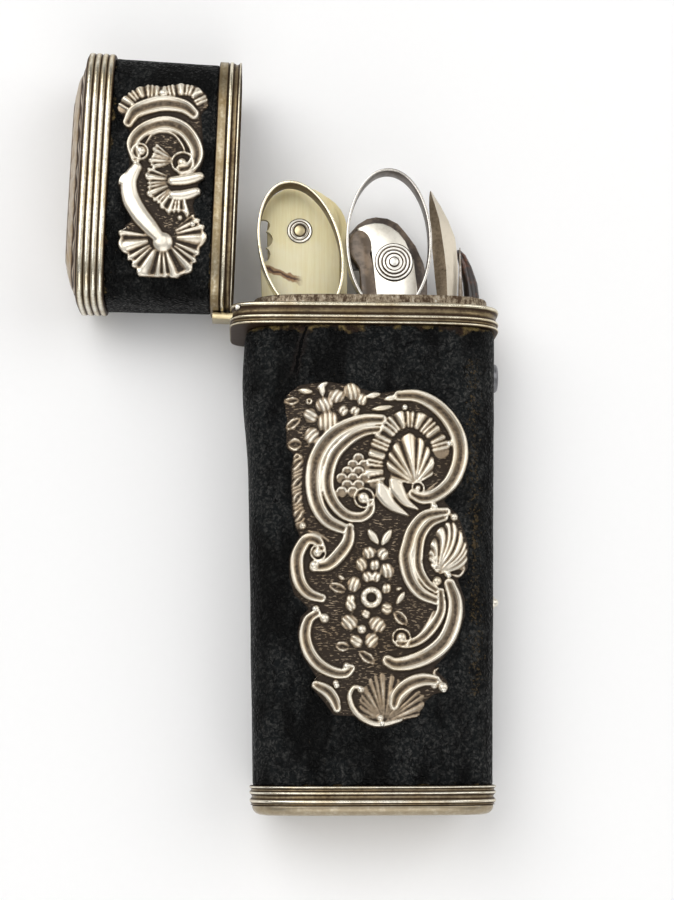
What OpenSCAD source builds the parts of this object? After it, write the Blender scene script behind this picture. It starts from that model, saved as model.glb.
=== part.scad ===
// Shagreen etui: a tapered oval case with a hinged lid, silver mounts and a set of
// sewing and writing tools that slide up out of a fitted wooden block.
// The case is drawn standing up, front towards -Y, base plate on z = 0, and is then
// laid on its back with the lid swung open, as it rests on a table.

/* [Case] */
// Width of the covered case at the base
base_w = 34.9; // [34:0.1:40]
// Width of the covered case at the seam between body and lid
seam_w = 37.8; // [36:0.1:42]
// Depth of the covered case at the base, front to back
base_d = 16.0; // [15.4:0.1:19]
// Depth of the covered case at the seam
seam_d = 16.8; // [16.4:0.1:20]
// Height of the seam above the base plate's flat face
seam_z = 75.0; // [74:0.5:95]
// Height of the lid, from the seam to the top of its dome
lid_h = 25.8; // [25:0.1:32]
// Squareness of the oval section, 2 is an ellipse
section_power = 3.8; // [3.6:0.1:5]
// Thickness of the black skin
skin_t = 0.45; // [0.3:0.05:0.6]
// Thickness of the body's wooden wall
body_wall = 1.5; // [1.4:0.05:1.7]
// Thickness of the lid's wooden wall
lid_wall = 0.7; // [0.6:0.05:0.8]
// Thickness of the wooden floor inside the body
floor_t = 2.0; // [1.5:0.1:3]
// Gap left for glue between pieces that are stuck together
glue = 0.03; // [0.02:0.01:0.05]

/* [Silver mounts] */
// Height of the plain base plate
plate_h = 1.4; // [1.2:0.1:2]
// Height of the reeded band above the base plate
base_band_h = 2.85; // [2.4:0.05:4]
// Height of the body's reeded rim
rim_h = 3.4; // [3.2:0.05:4]
// Height of the lid's reeded rim
lid_rim_h = 3.5; // [3.2:0.05:4]
// Height of the lid's upper reeded band
cap_band_h = 4.1; // [3.6:0.05:5]
// Height of the embossed dome on top of the lid
dome_h = 2.4; // [1.8:0.1:3.2]
// How far a reed stands out from the skin
reed_out = 0.6; // [0.4:0.05:0.7]
// Depth of the groove between two reeds
reed_groove = 0.3; // [0.2:0.05:0.35]
// Thickness of the collar that the lid slips over
collar_t = 0.4; // [0.3:0.05:0.5]
// Height of the collar above the seam
collar_up = 1.5; // [1.2:0.1:1.8]
// Depth of the collar below the seam
collar_down = 5.0; // [4.5:0.1:7]
// Distance from the skin's face in to the collar's outer face
collar_in = 1.15; // [1.1:0.05:1.3]

/* [Hinge] */
// Distance of the hinge line outside the skin at the seam
hinge_out = 1.2; // [1.1:0.05:2]
// Depth of the hinge line below the seam
hinge_drop = 0.8; // [0.7:0.05:1.1]
// Outer radius of the hinge tubes
knuckle_r = 0.8; // [0.7:0.05:0.9]
// Radius of the hinge pin
hinge_pin_r = 0.35; // [0.3:0.05:0.45]
// Length of the three hinge tubes together
hinge_len = 10.4; // [9:0.1:11]
// Length of the lid's own hinge tube
lid_tube_len = 3.6; // [3:0.1:4.4]
// How far the rim's squared shoulder reaches past the hinge line
shoulder_out = 0.65; // [0.5:0.05:1]
// Angle of the open lid
open_angle = 88; // [80:1:95]
// Gap between lid and body at the seam when closed
seam_gap = 0.15; // [0.1:0.05:0.25]

/* [Catch] */
// Radius of the push button
button_r = 2.2; // [1.8:0.05:2.4]
// Depth of the button's middle below the seam
button_drop = 9.8; // [9:0.1:12]
// How far the button stands out of the skin
button_out = 0.7; // [0.65:0.05:1]
// Travel of the button and of the catch tongue behind it
catch_travel = 0.6; // [0.5:0.05:0.6]
// Thickness of the steel tongue and of its spring
tongue_t = 0.4; // [0.3:0.05:0.5]
// Width of the steel tongue
tongue_w = 2.6; // [2.4:0.1:2.8]
// Depth of the spring's rivet below the seam
rivet_drop = 44; // [40:0.5:50]

/* [Tools] */
// Running clearance between a tool and its slot
slot_clear = 0.2; // [0.15:0.05:0.3]
// Width of the silver strip that the scissors' bows are bent from
bow_d = 3.2; // [2.6:0.1:3.4]
// Thickness of that strip
bow_t = 0.42; // [0.35:0.01:0.6]
// Thickness of one scissors blade
scissor_t = 1.2; // [1:0.05:1.3]
// Length of the scissors below their screw
scissor_len = 40; // [36:0.5:44]
// Radius of the scissors' screw
screw_r = 1.1; // [0.9:0.05:1.3]
// Thickness of one ivory leaf
leaf_t = 0.85; // [0.7:0.05:0.9]
// Radius of the ring turned round the knife's pivot
boss_r = 3.0; // [2.6:0.05:3.1]
// Radius of the knife's pivot pin
knife_pin_r = 0.6; // [0.5:0.05:0.8]
// Radius of the steel spike
spike_r = 0.38; // [0.3:0.01:0.42]

/* [Ornament] */
// Thickness of the plaques' sheet
sheet_t = 0.35; // [0.25:0.05:0.5]
// Height of the largest scrolls above the sheet
scroll_h = 0.55; // [0.4:0.05:0.7]
// Radius of the small pins that hold the plaques
plaque_pin_r = 0.45; // [0.35:0.05:0.55]

/* [Hidden] */

// Corners of the oval section
ring_n = 44;
top_z = seam_z + lid_h;
core_top = seam_z - 0.3;
body_inner = skin_t + body_wall;
lid_inner = skin_t + lid_wall;
block_top = seam_z - collar_down;
hinge_z = seam_z - hinge_drop;
// Distances of the hinge line and of the rim's shoulder from the case's middle
hinge_reach = seam_w / 2 + hinge_out;
shoulder_reach = hinge_reach + shoulder_out;
lid_base = seam_z + seam_gap;
lid_skin_base = seam_z + lid_rim_h;
cap_top = top_z - dome_h;
lid_skin_top = cap_top - cap_band_h;
run_fit = 0.05;
// Clearance of the plaques' pins in their sheet
pin_gap = 0.01;
// Inset of the dome's flat top from the skin's outline
dome_in = 7.4;
// Outer face of the lid's hinge leaf, from the hinge line
leaf_edge = 0.5;

// Half width and half depth of the covered case at a height
function half_w(z) = base_w / 2 + (seam_w - base_w) / 2 * z / seam_z;
function half_d(z) = base_d / 2 + (seam_d - base_d) / 2 * z / seam_z;
function spow(v, p) = sign(v) * pow(abs(v), p);

// One ring of the oval section, moved outwards by out
function ring(z, out, left = 0, power = section_power) = [
    for (i = [0 : ring_n - 1])
        let (t = 360 * i / ring_n, c = cos(t), s = sin(t),
            w = c < 0 && left > 0 ? left + out : half_w(z) + out,
            p = c < 0 && left > 0 ? 2 / power : 2 / section_power)
        [w * spow(c, p), (half_d(z) + out) * spow(s, p), z]];

// Distance of the front face from the case's middle plane
function front_y(x, z, out) =
    -(half_d(z) + out) * pow(max(0.001, 1 - pow(abs(x) / (half_w(z) + out), section_power)),
        1 / section_power);

// A solid through a stack of rings that all have the same number of points
module skin_rings(rings) {
    n = len(rings[0]);
    m = len(rings);
    points = [for (r = rings) for (p = r) p];
    side = [for (j = [0 : m - 2]) for (i = [0 : n - 1])
        let (a = j * n + i, b = j * n + (i + 1) % n)
        each [[a, a + n, b], [b, a + n, b + n]]];
    floor_face = [[for (i = [0 : n - 1]) i]];
    roof_face = [[for (i = [n - 1 : -1 : 0]) (m - 1) * n + i]];
    polyhedron(points, concat(floor_face, side, roof_face));
}

// A closed profile of [out, z] points carried round the oval section
module skin_profile(profile, left = 0, power = section_power) {
    n = ring_n;
    m = len(profile);
    points = [for (p = profile) each ring(p[1], p[0], p[0] > 0.02 ? left : 0, power)];
    faces = [for (j = [0 : m - 1]) for (i = [0 : n - 1])
        let (k = (j + 1) % m, a = j * n + i, b = j * n + (i + 1) % n,
            c = k * n + i, d = k * n + (i + 1) % n)
        each [[a, c, b], [b, c, d]]];
    polyhedron(points, faces);
}

// A solid between two heights of the case, its wall moved out by out
module case_solid(z0, z1, out) {
    skin_rings([ring(z0, out), ring(z1, out)]);
}

// Outer points of a stack of equal reeds from z0 up to z1
function reeds(z0, z1, count, out) = [
    for (i = [0 : count - 1])
        let (h = (z1 - z0) / count, z = z0 + i * h)
        each [[out - reed_groove, z + 0.06 * h], [out, z + 0.36 * h], [out, z + 0.72 * h]]];

// Points given as [x, height above the seam]
function above_seam(points) = [for (p = points) [p[0], seam_z + p[1]]];

// A flat outline in the plane of the case, from depth y0 to y0 + t
module flat(points, y0, t) {
    translate([0, y0 + t, 0]) rotate([90, 0, 0]) linear_extrude(t) polygon(points);
}

// A round bar along the depth of the case
module bar_y(x, z, r, y0, y1) {
    translate([x, y0, z]) rotate([-90, 0, 0]) cylinder(r = r, h = y1 - y0, $fn = 48);
}

// Points of an arc in the plane of the case
function arc(cx, cz, rx, rz, a0, a1, n) = [
    for (i = [0 : n]) let (a = a0 + (a1 - a0) * i / n) [cx + rx * cos(a), cz + rz * sin(a)]];

// Turns the lid and everything on it about the hinge line
module swing_lid() {
    translate([-hinge_reach, 0, hinge_z]) rotate([0, -open_angle, 0])
        translate([hinge_reach, 0, -hinge_z]) children();
}

// Lays the case on its back, with the middle of its box on the origin
function swung(x, z) = let (dx = x + hinge_reach, dz = z - hinge_z)
    [-hinge_reach + dx * cos(open_angle) - dz * sin(open_angle),
        hinge_z + dx * sin(open_angle) + dz * cos(open_angle)];
button_z = seam_z - button_drop;
button_x = half_w(button_z) + button_out;
widest_z = cap_top - 0.45 * cap_band_h / 4;
low_x = swung(-half_w(top_z) + dome_in, top_z)[0];
high_x = max(half_w(seam_z) + reed_out, button_x);
high_z = swung(half_w(widest_z) + reed_out, widest_z)[1];
back_y = half_d(widest_z) + reed_out;
module lay() {
    translate([-(low_x + high_x) / 2, -high_z / 2, back_y]) rotate([-90, 0, 0]) children();
}

silver = [0.74, 0.70, 0.64];
dark_silver = [0.45, 0.41, 0.36];
steel = [0.55, 0.55, 0.56];
black_skin = [0.07, 0.07, 0.08];
wood = [0.42, 0.27, 0.16];
ivory = [0.92, 0.86, 0.66];
shell = [0.22, 0.11, 0.05];

// Case

module body_core() {
    color(wood) lay() difference() {
        case_solid(plate_h + glue, core_top, -skin_t - glue);
        case_solid(plate_h + floor_t, core_top + 1, -body_inner);
        case_solid(block_top, core_top + 1, -collar_in + glue);
        // groove for the catch spring and window for its tongue
        translate([half_w(0) - body_inner - 1, -tongue_w / 2 - 0.3, seam_z - rivet_drop - 3])
            cube([half_w(seam_z) - half_w(0) + body_inner + 2, tongue_w + 0.6, rivet_drop + 4]);
        bar_x(half_w(0) - body_inner - 1, half_w(seam_z) + 1, button_z, bush_r + glue);
    }
}

module body_skin() {
    color(black_skin) lay() difference() {
        case_solid(plate_h + base_band_h + glue, seam_z - rim_h - glue, 0);
        case_solid(plate_h, seam_z, -skin_t);
        bar_x(half_w(0) - 2, half_w(seam_z) + 1, button_z, bush_r + glue);
        bar_x(half_w(0) - 2, half_w(seam_z) + 1, rivet_z, rivet_r + glue);
    }
}

module base_plate() {
    color(silver) lay() skin_rings([ring(0, -1.6), ring(0.2, -0.8), ring(0.55, -0.25),
        ring(1.0, 0.02), ring(plate_h, 0.1)]);
}

module base_band() {
    z0 = plate_h + glue;
    z1 = plate_h + base_band_h;
    color(silver) lay() skin_profile(concat([[-skin_t, z0]], reeds(z0, z1, 3, reed_out - 0.1),
        [[0.1, z1], [-skin_t, z1]]));
}

// The rim swells into a squared shoulder on its hinge side
module body_rim() {
    z0 = seam_z - rim_h;
    color(silver) lay() difference() {
        skin_profile(concat([[-skin_t, z0]], reeds(z0, seam_z - 0.05, 2, reed_out),
            [[0.25, seam_z], [-skin_t, seam_z]]), left = shoulder_reach, power = 7);
        // seat of the lid's leaf when the lid is open
        translate([-hinge_reach - 3, -hinge_len / 2 - 0.1, hinge_z - leaf_edge - 0.08])
            cube([3.65, hinge_len + 0.2, 4]);
        bar_y(-hinge_reach, hinge_z, knuckle_r + 0.06, -hinge_len / 2 - 0.1, hinge_len / 2 + 0.1);
        bar_y(-hinge_reach, hinge_z, hinge_pin_r + run_fit, -10, 10);
        // way for the catch tongue
        translate([half_w(seam_z) - 2, -tongue_w / 2 - 0.3, z0 - 1])
            cube([2 - skin_t, tongue_w + 0.6, rim_h + 2]);
    }
}

module collar() {
    color(dark_silver) lay() difference() {
        skin_profile([[-collar_in - collar_t, block_top + glue], [-collar_in, block_top + glue],
            [-collar_in, seam_z + collar_up - 0.15], [-collar_in - 0.15, seam_z + collar_up],
            [-collar_in - collar_t, seam_z + collar_up]]);
        // slot that lets the catch tongue spring in
        translate([half_w(seam_z) - 4, -tongue_w / 2 - 0.4, block_top - 1])
            cube([4, tongue_w + 0.8, collar_down + collar_up + 2]);
    }
}

// Catch: a push button on a steel tongue whose nose holds the lid's rim

bush_r = button_r + 0.5;
rivet_z = seam_z - rivet_drop;
rivet_r = 0.5;
tongue_x = half_w(seam_z) - collar_in;
spring_top = button_z - button_r - 0.6;
// How far the spring is set in at its rivet, along the taper of the case
spring_in = half_w(seam_z) - half_w(rivet_z);
rivet_x = tongue_x - tongue_t - spring_in - 0.6;

// A round bar along the width of the case
module bar_x(x0, x1, z, r) {
    translate([x0, 0, z]) rotate([0, 90, 0]) cylinder(r = r, h = x1 - x0, $fn = 48);
}

module button_bush() {
    x1 = half_w(button_z) + 0.05;
    color(dark_silver) lay() difference() {
        bar_x(tongue_x + tongue_t + 0.1, x1, button_z, bush_r);
        bar_x(tongue_x - 1, x1 + 1, button_z, button_r + run_fit);
    }
}

module push_button() {
    depth = button_x - tongue_x;
    color(dark_silver) lay() translate([tongue_x, 0, button_z]) rotate([0, 90, 0])
        rotate_extrude($fn = 48) polygon(concat([[0, 0], [button_r, 0]],
            [for (a = [0 : 15 : 90]) [button_r - 0.5 + 0.5 * cos(a), depth - 0.5 + 0.5 * sin(a)]],
            [[0, depth]]));
}

module catch_tongue() {
    z0 = button_z - button_r;
    nose_z = seam_z + 0.55;
    color(steel) lay() flat([[tongue_x - tongue_t - glue, z0], [tongue_x - glue, z0],
        [tongue_x - glue, nose_z], [tongue_x + 0.5, nose_z + 0.1], [tongue_x + 0.5, nose_z + 0.3],
        [tongue_x - glue, seam_z + 1.35], [tongue_x - tongue_t - glue, seam_z + 1.35]],
        -tongue_w / 2, tongue_w);
}

module catch_spring() {
    z0 = rivet_z - 1.6;
    x0 = tongue_x - tongue_t - glue;
    color(steel) lay() difference() {
        flat([[x0 - spring_in, z0], [x0 + tongue_t - spring_in, z0], [x0 + tongue_t, spring_top],
            [x0, spring_top]], -tongue_w / 2 + 0.3, tongue_w - 0.6);
        bar_x(x0 - 3, x0 + 3, rivet_z, rivet_r + glue);
    }
}

module spring_rivet() {
    skin_x = half_w(rivet_z);
    color(silver) lay() union() {
        bar_x(rivet_x, skin_x + 0.1, rivet_z, rivet_r);
        bar_x(rivet_x, rivet_x + 0.3, rivet_z, 0.9);
        bar_x(skin_x + 0.04, skin_x + 0.35, rivet_z, 0.95);
        translate([skin_x + 0.4, 0, rivet_z]) sphere(r = 0.65, $fn = 32);
    }
}

// The fitted block, with one slot for each tool

module tool_block() {
    color(wood) lay() difference() {
        case_solid(plate_h + floor_t + glue, block_top, -body_inner - glue);
        flat(pocket(), scissor_y - slot_clear, bow_d + 2 * slot_clear);
        flat(tablet_slot(), tablet_y - slot_clear, 2 * leaf_t + 0.1 + 2 * slot_clear);
        flat(knife_slot(), knife_y - slot_clear, knife_depth + 2 * slot_clear);
        flat(leaf_slot(), leaf_y - 0.8 - slot_clear, 1.6 + 2 * slot_clear);
        flat(horn_slot(), horn_y - 1.1 - slot_clear, 2.2 + 2 * slot_clear);
        translate([spike_x, spike_y, seam_z - spike_down - slot_clear])
            cylinder(r = spike_r + slot_clear, h = spike_down + 2, $fn = 32);
        // room for the tongue when the button is pressed
        translate([rivet_x - 0.2, -tongue_w / 2 - 0.3, rivet_z - 3])
            cube([4, tongue_w + 0.6, rivet_drop + 4]);
    }
}

// Hinge

module hinge_tubes() {
    color(silver) lay() for (side = [-1, 1]) difference() {
        bar_y(-hinge_reach, hinge_z, knuckle_r,
            side > 0 ? lid_tube_len / 2 + 0.05 : -hinge_len / 2,
            side > 0 ? hinge_len / 2 : -lid_tube_len / 2 - 0.05);
        bar_y(-hinge_reach, hinge_z, hinge_pin_r + run_fit, -hinge_len, hinge_len);
    }
}

module hinge_pin() {
    y1 = half_d(seam_z) - 0.45;
    color(silver) lay() bar_y(-hinge_reach, hinge_z, hinge_pin_r, -y1, y1);
}

module lid_hinge_tube() {
    color(silver) lay() swing_lid() difference() {
        union() {
            bar_y(-hinge_reach, hinge_z, knuckle_r, -lid_tube_len / 2, lid_tube_len / 2);
            translate([-hinge_reach - leaf_edge, -lid_tube_len / 2, hinge_z])
                cube([hinge_reach + leaf_edge - half_w(lid_skin_base) - reed_out - 0.02, lid_tube_len,
                    hinge_drop + lid_rim_h - 0.4]);
        }
        bar_y(-hinge_reach, hinge_z, hinge_pin_r + run_fit, -hinge_len, hinge_len);
    }
}

// Lid

module lid_core() {
    color(wood) lay() swing_lid() difference() {
        case_solid(seam_z + 2.2 + glue, cap_top - glue, -skin_t - glue);
        case_solid(seam_z, cap_top - lid_wall - 0.3, -lid_inner);
    }
}

module lid_skin() {
    color(black_skin) lay() swing_lid() difference() {
        case_solid(lid_skin_base + glue, lid_skin_top - glue, 0);
        case_solid(seam_z, top_z, -skin_t);
    }
}

module lid_lining() {
    color([0.3, 0.17, 0.1]) lay() swing_lid() difference() {
        case_solid(seam_z + 2.2 + glue, cap_top - lid_wall - 0.3 - glue, -lid_inner - glue);
        case_solid(seam_z, cap_top - lid_wall - 0.3 - 0.2, -lid_inner - 0.18);
    }
}

module lid_rim() {
    z1 = lid_skin_base;
    color(silver) lay() swing_lid() difference() {
        skin_profile(concat([[-0.75, lid_base], [0.25, lid_base]],
            reeds(lid_base + 0.05, z1, 2, reed_out),
            [[0.1, z1], [-skin_t, z1], [-skin_t, seam_z + 2.2], [-0.75, seam_z + 2.2]]));
        // notch for the nose of the catch
        translate([half_w(seam_z) - 1.5, -tongue_w / 2 - 0.3, seam_z + 0.4])
            cube([1.5 + 0.05, tongue_w + 0.6, 0.9]);
    }
}

module lid_cap_band() {
    z0 = lid_skin_top;
    color(silver) lay() swing_lid() skin_profile(concat([[-skin_t, z0]],
        reeds(z0, cap_top, 4, reed_out), [[0.1, cap_top], [-skin_t, cap_top]]));
}

module lid_dome() {
    z = cap_top;
    color(silver) lay() swing_lid() skin_rings([ring(z + glue, 0.1), ring(z + 0.25, -0.25),
        ring(z + 0.45, -1.1), ring(z + 0.75, -1.9), ring(z + 1.25, -2.7), ring(z + 1.7, -4.2),
        ring(z + dome_h * 0.9, -5.9), ring(z + dome_h, -dome_in)]);
}

// Scissors: the two halves cross at the screw

scissor_y = -3.9;
pivot_x = -4.0;
pivot_drop = 18;
pivot_z = seam_z - pivot_drop;
left_y = scissor_y + 0.35;
right_y = left_y + scissor_t + 0.1;

// Pocket: as wide as the blades swing on their way up
function pocket() = let (z0 = seam_z - pivot_drop - scissor_len - 1, z1 = block_top + 1)
    [[pivot_x - 1.1, z0], [pivot_x + 1.1, z0], [pivot_x + 7.5, z1], [pivot_x - 7.5, z1]];

module bow(cx, cz, rx, rz, lean) {
    translate([cx, scissor_y + bow_d, seam_z + cz]) rotate([0, lean, 0]) rotate([90, 0, 0])
        linear_extrude(bow_d) difference() {
            polygon(arc(0, 0, rx, rz, 0, 360 - 7.5, 47));
            polygon(arc(0, 0, rx - bow_t, rz - bow_t, 0, 360 - 7.5, 47));
        }
}

// One shank and blade; side is 1 for the half with the right bow
module half_blade(side, foot_x, foot_z, y0) {
    tip_z = pivot_z - scissor_len;
    difference() {
        union() {
            flat([[foot_x - 0.9, foot_z], [foot_x + 0.9, foot_z],
                [pivot_x + (side > 0 ? 2.7 : 1.2), pivot_z + 1.8],
                [pivot_x + (side > 0 ? 0.6 : -0.6) + 1.4, pivot_z - 3],
                [pivot_x - side * 0.6 - 1.4, pivot_z - 3],
                [pivot_x - (side > 0 ? 1.2 : 2.7), pivot_z + 1.8]], y0, scissor_t);
            bar_y(pivot_x, pivot_z, 3.1, y0, y0 + scissor_t);
            flat(concat([[pivot_x + side * 0.5, pivot_z - 1]],
                [for (i = [0 : 6]) let (u = i / 6)
                    [pivot_x - side * (3.0 * pow(1 - u, 0.7) + 0.1), pivot_z - 1 - (scissor_len - 1) * u]],
                [[pivot_x + side * 0.15, tip_z]]), y0, scissor_t);
        }
        bar_y(pivot_x, pivot_z, screw_r + run_fit, y0 - 1, y0 + scissor_t + 1);
    }
}

module left_bow() {
    color([0.80, 0.70, 0.48]) lay() bow(-10.65, 9.4, 6.3, 10.8, -13);
}

module left_blade() {
    color(steel) lay() half_blade(-1, -8.9, seam_z - 1.3, left_y);
}

module right_bow() {
    color(silver) lay() bow(2.8, 10.7, 6.55, 11.45, 0);
}

module right_blade() {
    color(steel) lay() half_blade(1, 2.8, seam_z - 0.8, right_y);
}

module scissors_screw() {
    color(steel) lay() union() {
        bar_y(pivot_x, pivot_z, screw_r, left_y - 0.1, right_y + scissor_t + 0.1);
        difference() {
            bar_y(pivot_x, pivot_z, 1.9, left_y - 0.33, left_y - 0.06);
            translate([pivot_x - 2, left_y - 0.4, pivot_z - 0.15]) cube([4, 0.2, 0.3]);
        }
        bar_y(pivot_x, pivot_z, 1.6, right_y + scissor_t + 0.06, right_y + scissor_t + 0.3);
    }
}

// Ivory tablets: two leaves on one rivet

tablet_y = 0.2;
tablet_down = 40;
tablet_pin = [-10.7, 13.2];
tablet_back_y = tablet_y + leaf_t + 0.1;

function tablet_slot() = [[-15.7, seam_z - tablet_down - 0.3], [-3.1, seam_z - tablet_down - 0.3],
    [-3.1, block_top + 1], [-16.5, block_top + 1]];

module tablet_front() {
    color(ivory) lay() difference() {
        flat(concat([[-15.0, seam_z - tablet_down], [-4.8, seam_z - tablet_down]],
            arc(-10.7, seam_z + 14.1, 6.2, 6.2, 0, 180, 16)), tablet_y, leaf_t);
        bar_y(tablet_pin[0], seam_z + tablet_pin[1], 0.85, tablet_y - 1, tablet_y + leaf_t + 1);
        // the broken edge
        flat(above_seam([[-18, 15.3], [-16.9, 15.3], [-16.5, 14.2], [-16.0, 13.1], [-16.3, 11.6],
            [-16.1, 10.1], [-16.9, 9.1], [-18, 9.1]]), tablet_y - 1, leaf_t + 2);
    }
}

module tablet_back() {
    color(ivory) lay() difference() {
        flat(concat([[-14.6, seam_z - tablet_down], [-3.6, seam_z - tablet_down]],
            arc(-9.5, seam_z + 13.6, 6.2, 6.2, 0, 180, 16)), tablet_back_y, leaf_t);
        bar_y(tablet_pin[0], seam_z + tablet_pin[1], 0.8, tablet_back_y - 1, tablet_back_y + leaf_t + 1);
    }
}

module tablet_rivet() {
    z = seam_z + tablet_pin[1];
    color([0.78, 0.66, 0.42]) lay() union() {
        bar_y(tablet_pin[0], z, 0.8, tablet_y - 0.3, tablet_back_y + leaf_t + 0.25);
        bar_y(tablet_pin[0], z, 1.15, tablet_back_y + leaf_t + 0.02, tablet_back_y + leaf_t + 0.25);
    }
}

module tablet_washers() {
    z = seam_z + tablet_pin[1];
    color(silver) lay() translate([tablet_pin[0], tablet_y - 0.03, z]) rotate([90, 0, 0])
        rotate_extrude($fn = 48) polygon([[0.83, 0], [1.95, 0], [1.95, 0.1], [1.75, 0.2],
            [1.5, 0.12], [1.25, 0.12], [1.15, 0.22], [0.95, 0.27], [0.83, 0.2]]);
}

// Folding knife

knife_y = -0.05;
knife_depth = 3.05;
knife_down = 45;
knife_pin = [3.85, 8.45];
plate_y = knife_y + 0.55;
plate_t = 0.55;
blade_y = plate_y + 0.65;
scale_y = blade_y + 0.85;

function knife_slot() = let (z0 = seam_z - knife_down - 0.3)
    [[0.5, z0], [8.3, z0], [8.75, block_top + 1], [-1.9, block_top + 1]];

module knife_back_scale() {
    color(shell) lay() difference() {
        flat(above_seam([[1.0, -knife_down], [5.9, 0.8 - knife_down], [8.45, -4], [9.1, 3.9],
            [9.1, 6.1], [8.6, 8.7], [7.4, 11.5], [5.8, 13.7], [4.6, 15.1], [3.0, 15.9], [1.2, 16.1],
            [-0.2, 15.8], [-1.6, 14.9], [-3.0, 13.3], [-3.3, 11.0], [-2.8, 6.0], [-1.6, -4]]),
            scale_y, knife_depth - (scale_y - knife_y));
        bar_y(knife_pin[0], seam_z + knife_pin[1], knife_pin_r + glue, scale_y - 1, scale_y + 3);
    }
}

module knife_plate() {
    color(silver) lay() difference() {
        flat(above_seam([[1.4, 0.3 - knife_down], [5.3, 0.6 - knife_down], [7.2, -4], [7.4, 4.4],
            [6.9, 8.9], [5.6, 11.9], [4.6, 13.2], [3.4, 14.1], [2.2, 14.6], [0.9, 14.7],
            [-0.5, 14.4], [-1.8, 13.8], [-1.0, 12.0], [0.4, 10.1], [0.8, 6.0], [1.0, 3.6],
            [0.8, -4]]), plate_y, plate_t);
        bar_y(knife_pin[0], seam_z + knife_pin[1], knife_pin_r + glue, plate_y - 1, plate_y + 2);
    }
}

module knife_front_scale() {
    color(shell) lay() flat(above_seam(concat([[1.2, 0.3 - knife_down], [3.0, 0.3 - knife_down],
        [1.1, 3.6], [0.5, 8.6]], arc(-1.45, 10.9, 1.8, 2.5, -30, 215, 16),
        [[-1.6, 7.4], [-1.3, 3.9], [-1.2, -4]])), knife_y, plate_y - knife_y - glue);
}

module knife_pivot() {
    z = seam_z + knife_pin[1];
    color(silver) lay() union() {
        translate([knife_pin[0], plate_y - 0.02, z]) rotate([90, 0, 0]) rotate_extrude($fn = 64)
            polygon([[0, 0], [boss_r, 0], [boss_r, 0.15], [boss_r - 0.15, 0.3], [boss_r - 0.4, 0.3],
                [boss_r - 0.5, 0.2], [boss_r - 0.65, 0.34], [boss_r - 0.95, 0.34],
                [boss_r - 1.05, 0.24], [boss_r - 1.25, 0.4], [boss_r - 1.6, 0.4],
                [boss_r - 1.75, 0.26], [0.75, 0.3], [0.7, 0.5], [0, 0.55]]);
        bar_y(knife_pin[0], z, knife_pin_r, plate_y - 0.1, knife_y + knife_depth + 0.12);
    }
}

module knife_blade() {
    z = seam_z + knife_pin[1];
    color(steel) lay() difference() {
        union() {
            bar_y(knife_pin[0], z, 2.4, blade_y, blade_y + 0.75);
            flat(above_seam([[1.7, 7.9], [1.8, 0.4], [2.0, -31.6], [2.9, -40.6], [4.3, -35.6],
                [5.2, -25.6], [5.8, -1.6], [6.0, 7.4]]), blade_y, 0.75);
        }
        bar_y(knife_pin[0], z, knife_pin_r + run_fit, blade_y - 1, blade_y + 2);
    }
}

// Leaf-ended tool, spike and horn handle

leaf_y = 1.0;
leaf_down = 50;

function leaf_slot() = let (z0 = seam_z - leaf_down - 0.3)
    [[10.9, z0], [12.5, z0], [13.3, block_top + 1], [10.2, block_top + 1]];

// Height above the seam, left edge, ridge and right edge of the leaf-ended tool
leaf_rows = [[-leaf_down, 11.2, 11.7, 12.2], [-20, 10.9, 11.7, 12.6], [-4, 10.5, 11.8, 13.0],
    [3.6, 10.45, 12.0, 13.6], [7.3, 10.1, 11.9, 13.8], [9.9, 9.9, 11.65, 13.7],
    [12.6, 9.65, 11.3, 13.4], [15.3, 9.5, 10.9, 12.4], [17.8, 9.42, 10.2, 11.15],
    [19.0, 9.45, 9.8, 10.4], [19.9, 9.55, 9.62, 9.7]];

module leaf_tool() {
    color(silver) lay() skin_rings([for (r = leaf_rows) let (z = seam_z + r[0])
        [[r[3], leaf_y, z], [r[2], leaf_y + 0.8, z], [r[1], leaf_y, z], [r[2], leaf_y - 0.8, z]]]);
}

spike_x = 14.05;
spike_y = 0.2;
spike_down = 38;

module steel_spike() {
    color(steel) lay() translate([spike_x, spike_y, seam_z]) union() {
        translate([0, 0, -spike_down]) cylinder(r = spike_r, h = spike_down + 3, $fn = 24);
        translate([0, 0, 3]) cylinder(r1 = spike_r, r2 = 0.06, h = 7.8, $fn = 24);
    }
}

horn_y = 2.55;
horn_down = 42;

// The handle leans along the case's side: its slot's walls are so far in from the skin
function horn_slot() = let (z0 = seam_z - horn_down - 0.3, z1 = block_top + 1)
    [[half_w(z0) - 3.6, z0], [half_w(z0) - 1.9, z0], [half_w(z1) - 1.72, z1],
        [half_w(z0) - 3.6, z1]];

// Height above the seam, distance in from the skin and half width of the horn handle
horn_rows = [[-horn_down, 2.8, 0.6], [-5, 3.05, 0.92], [0, 2.95, 1.1], [3.4, 2.85, 1.2],
    [5.7, 3.05, 1.14], [8.4, 3.75, 0.96], [10.2, 4.4, 0.72], [11.0, 4.75, 0.3]];

module horn_handle() {
    color(shell) lay() skin_rings([for (r = horn_rows)
        let (x = half_w(min(seam_z, seam_z + r[0])) - r[1])
        [for (i = [0 : 11])
            [x + r[2] * cos(30 * i), horn_y + 1.02 * r[2] * sin(30 * i), seam_z + r[0]]]]);
}

// Ornament

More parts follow.
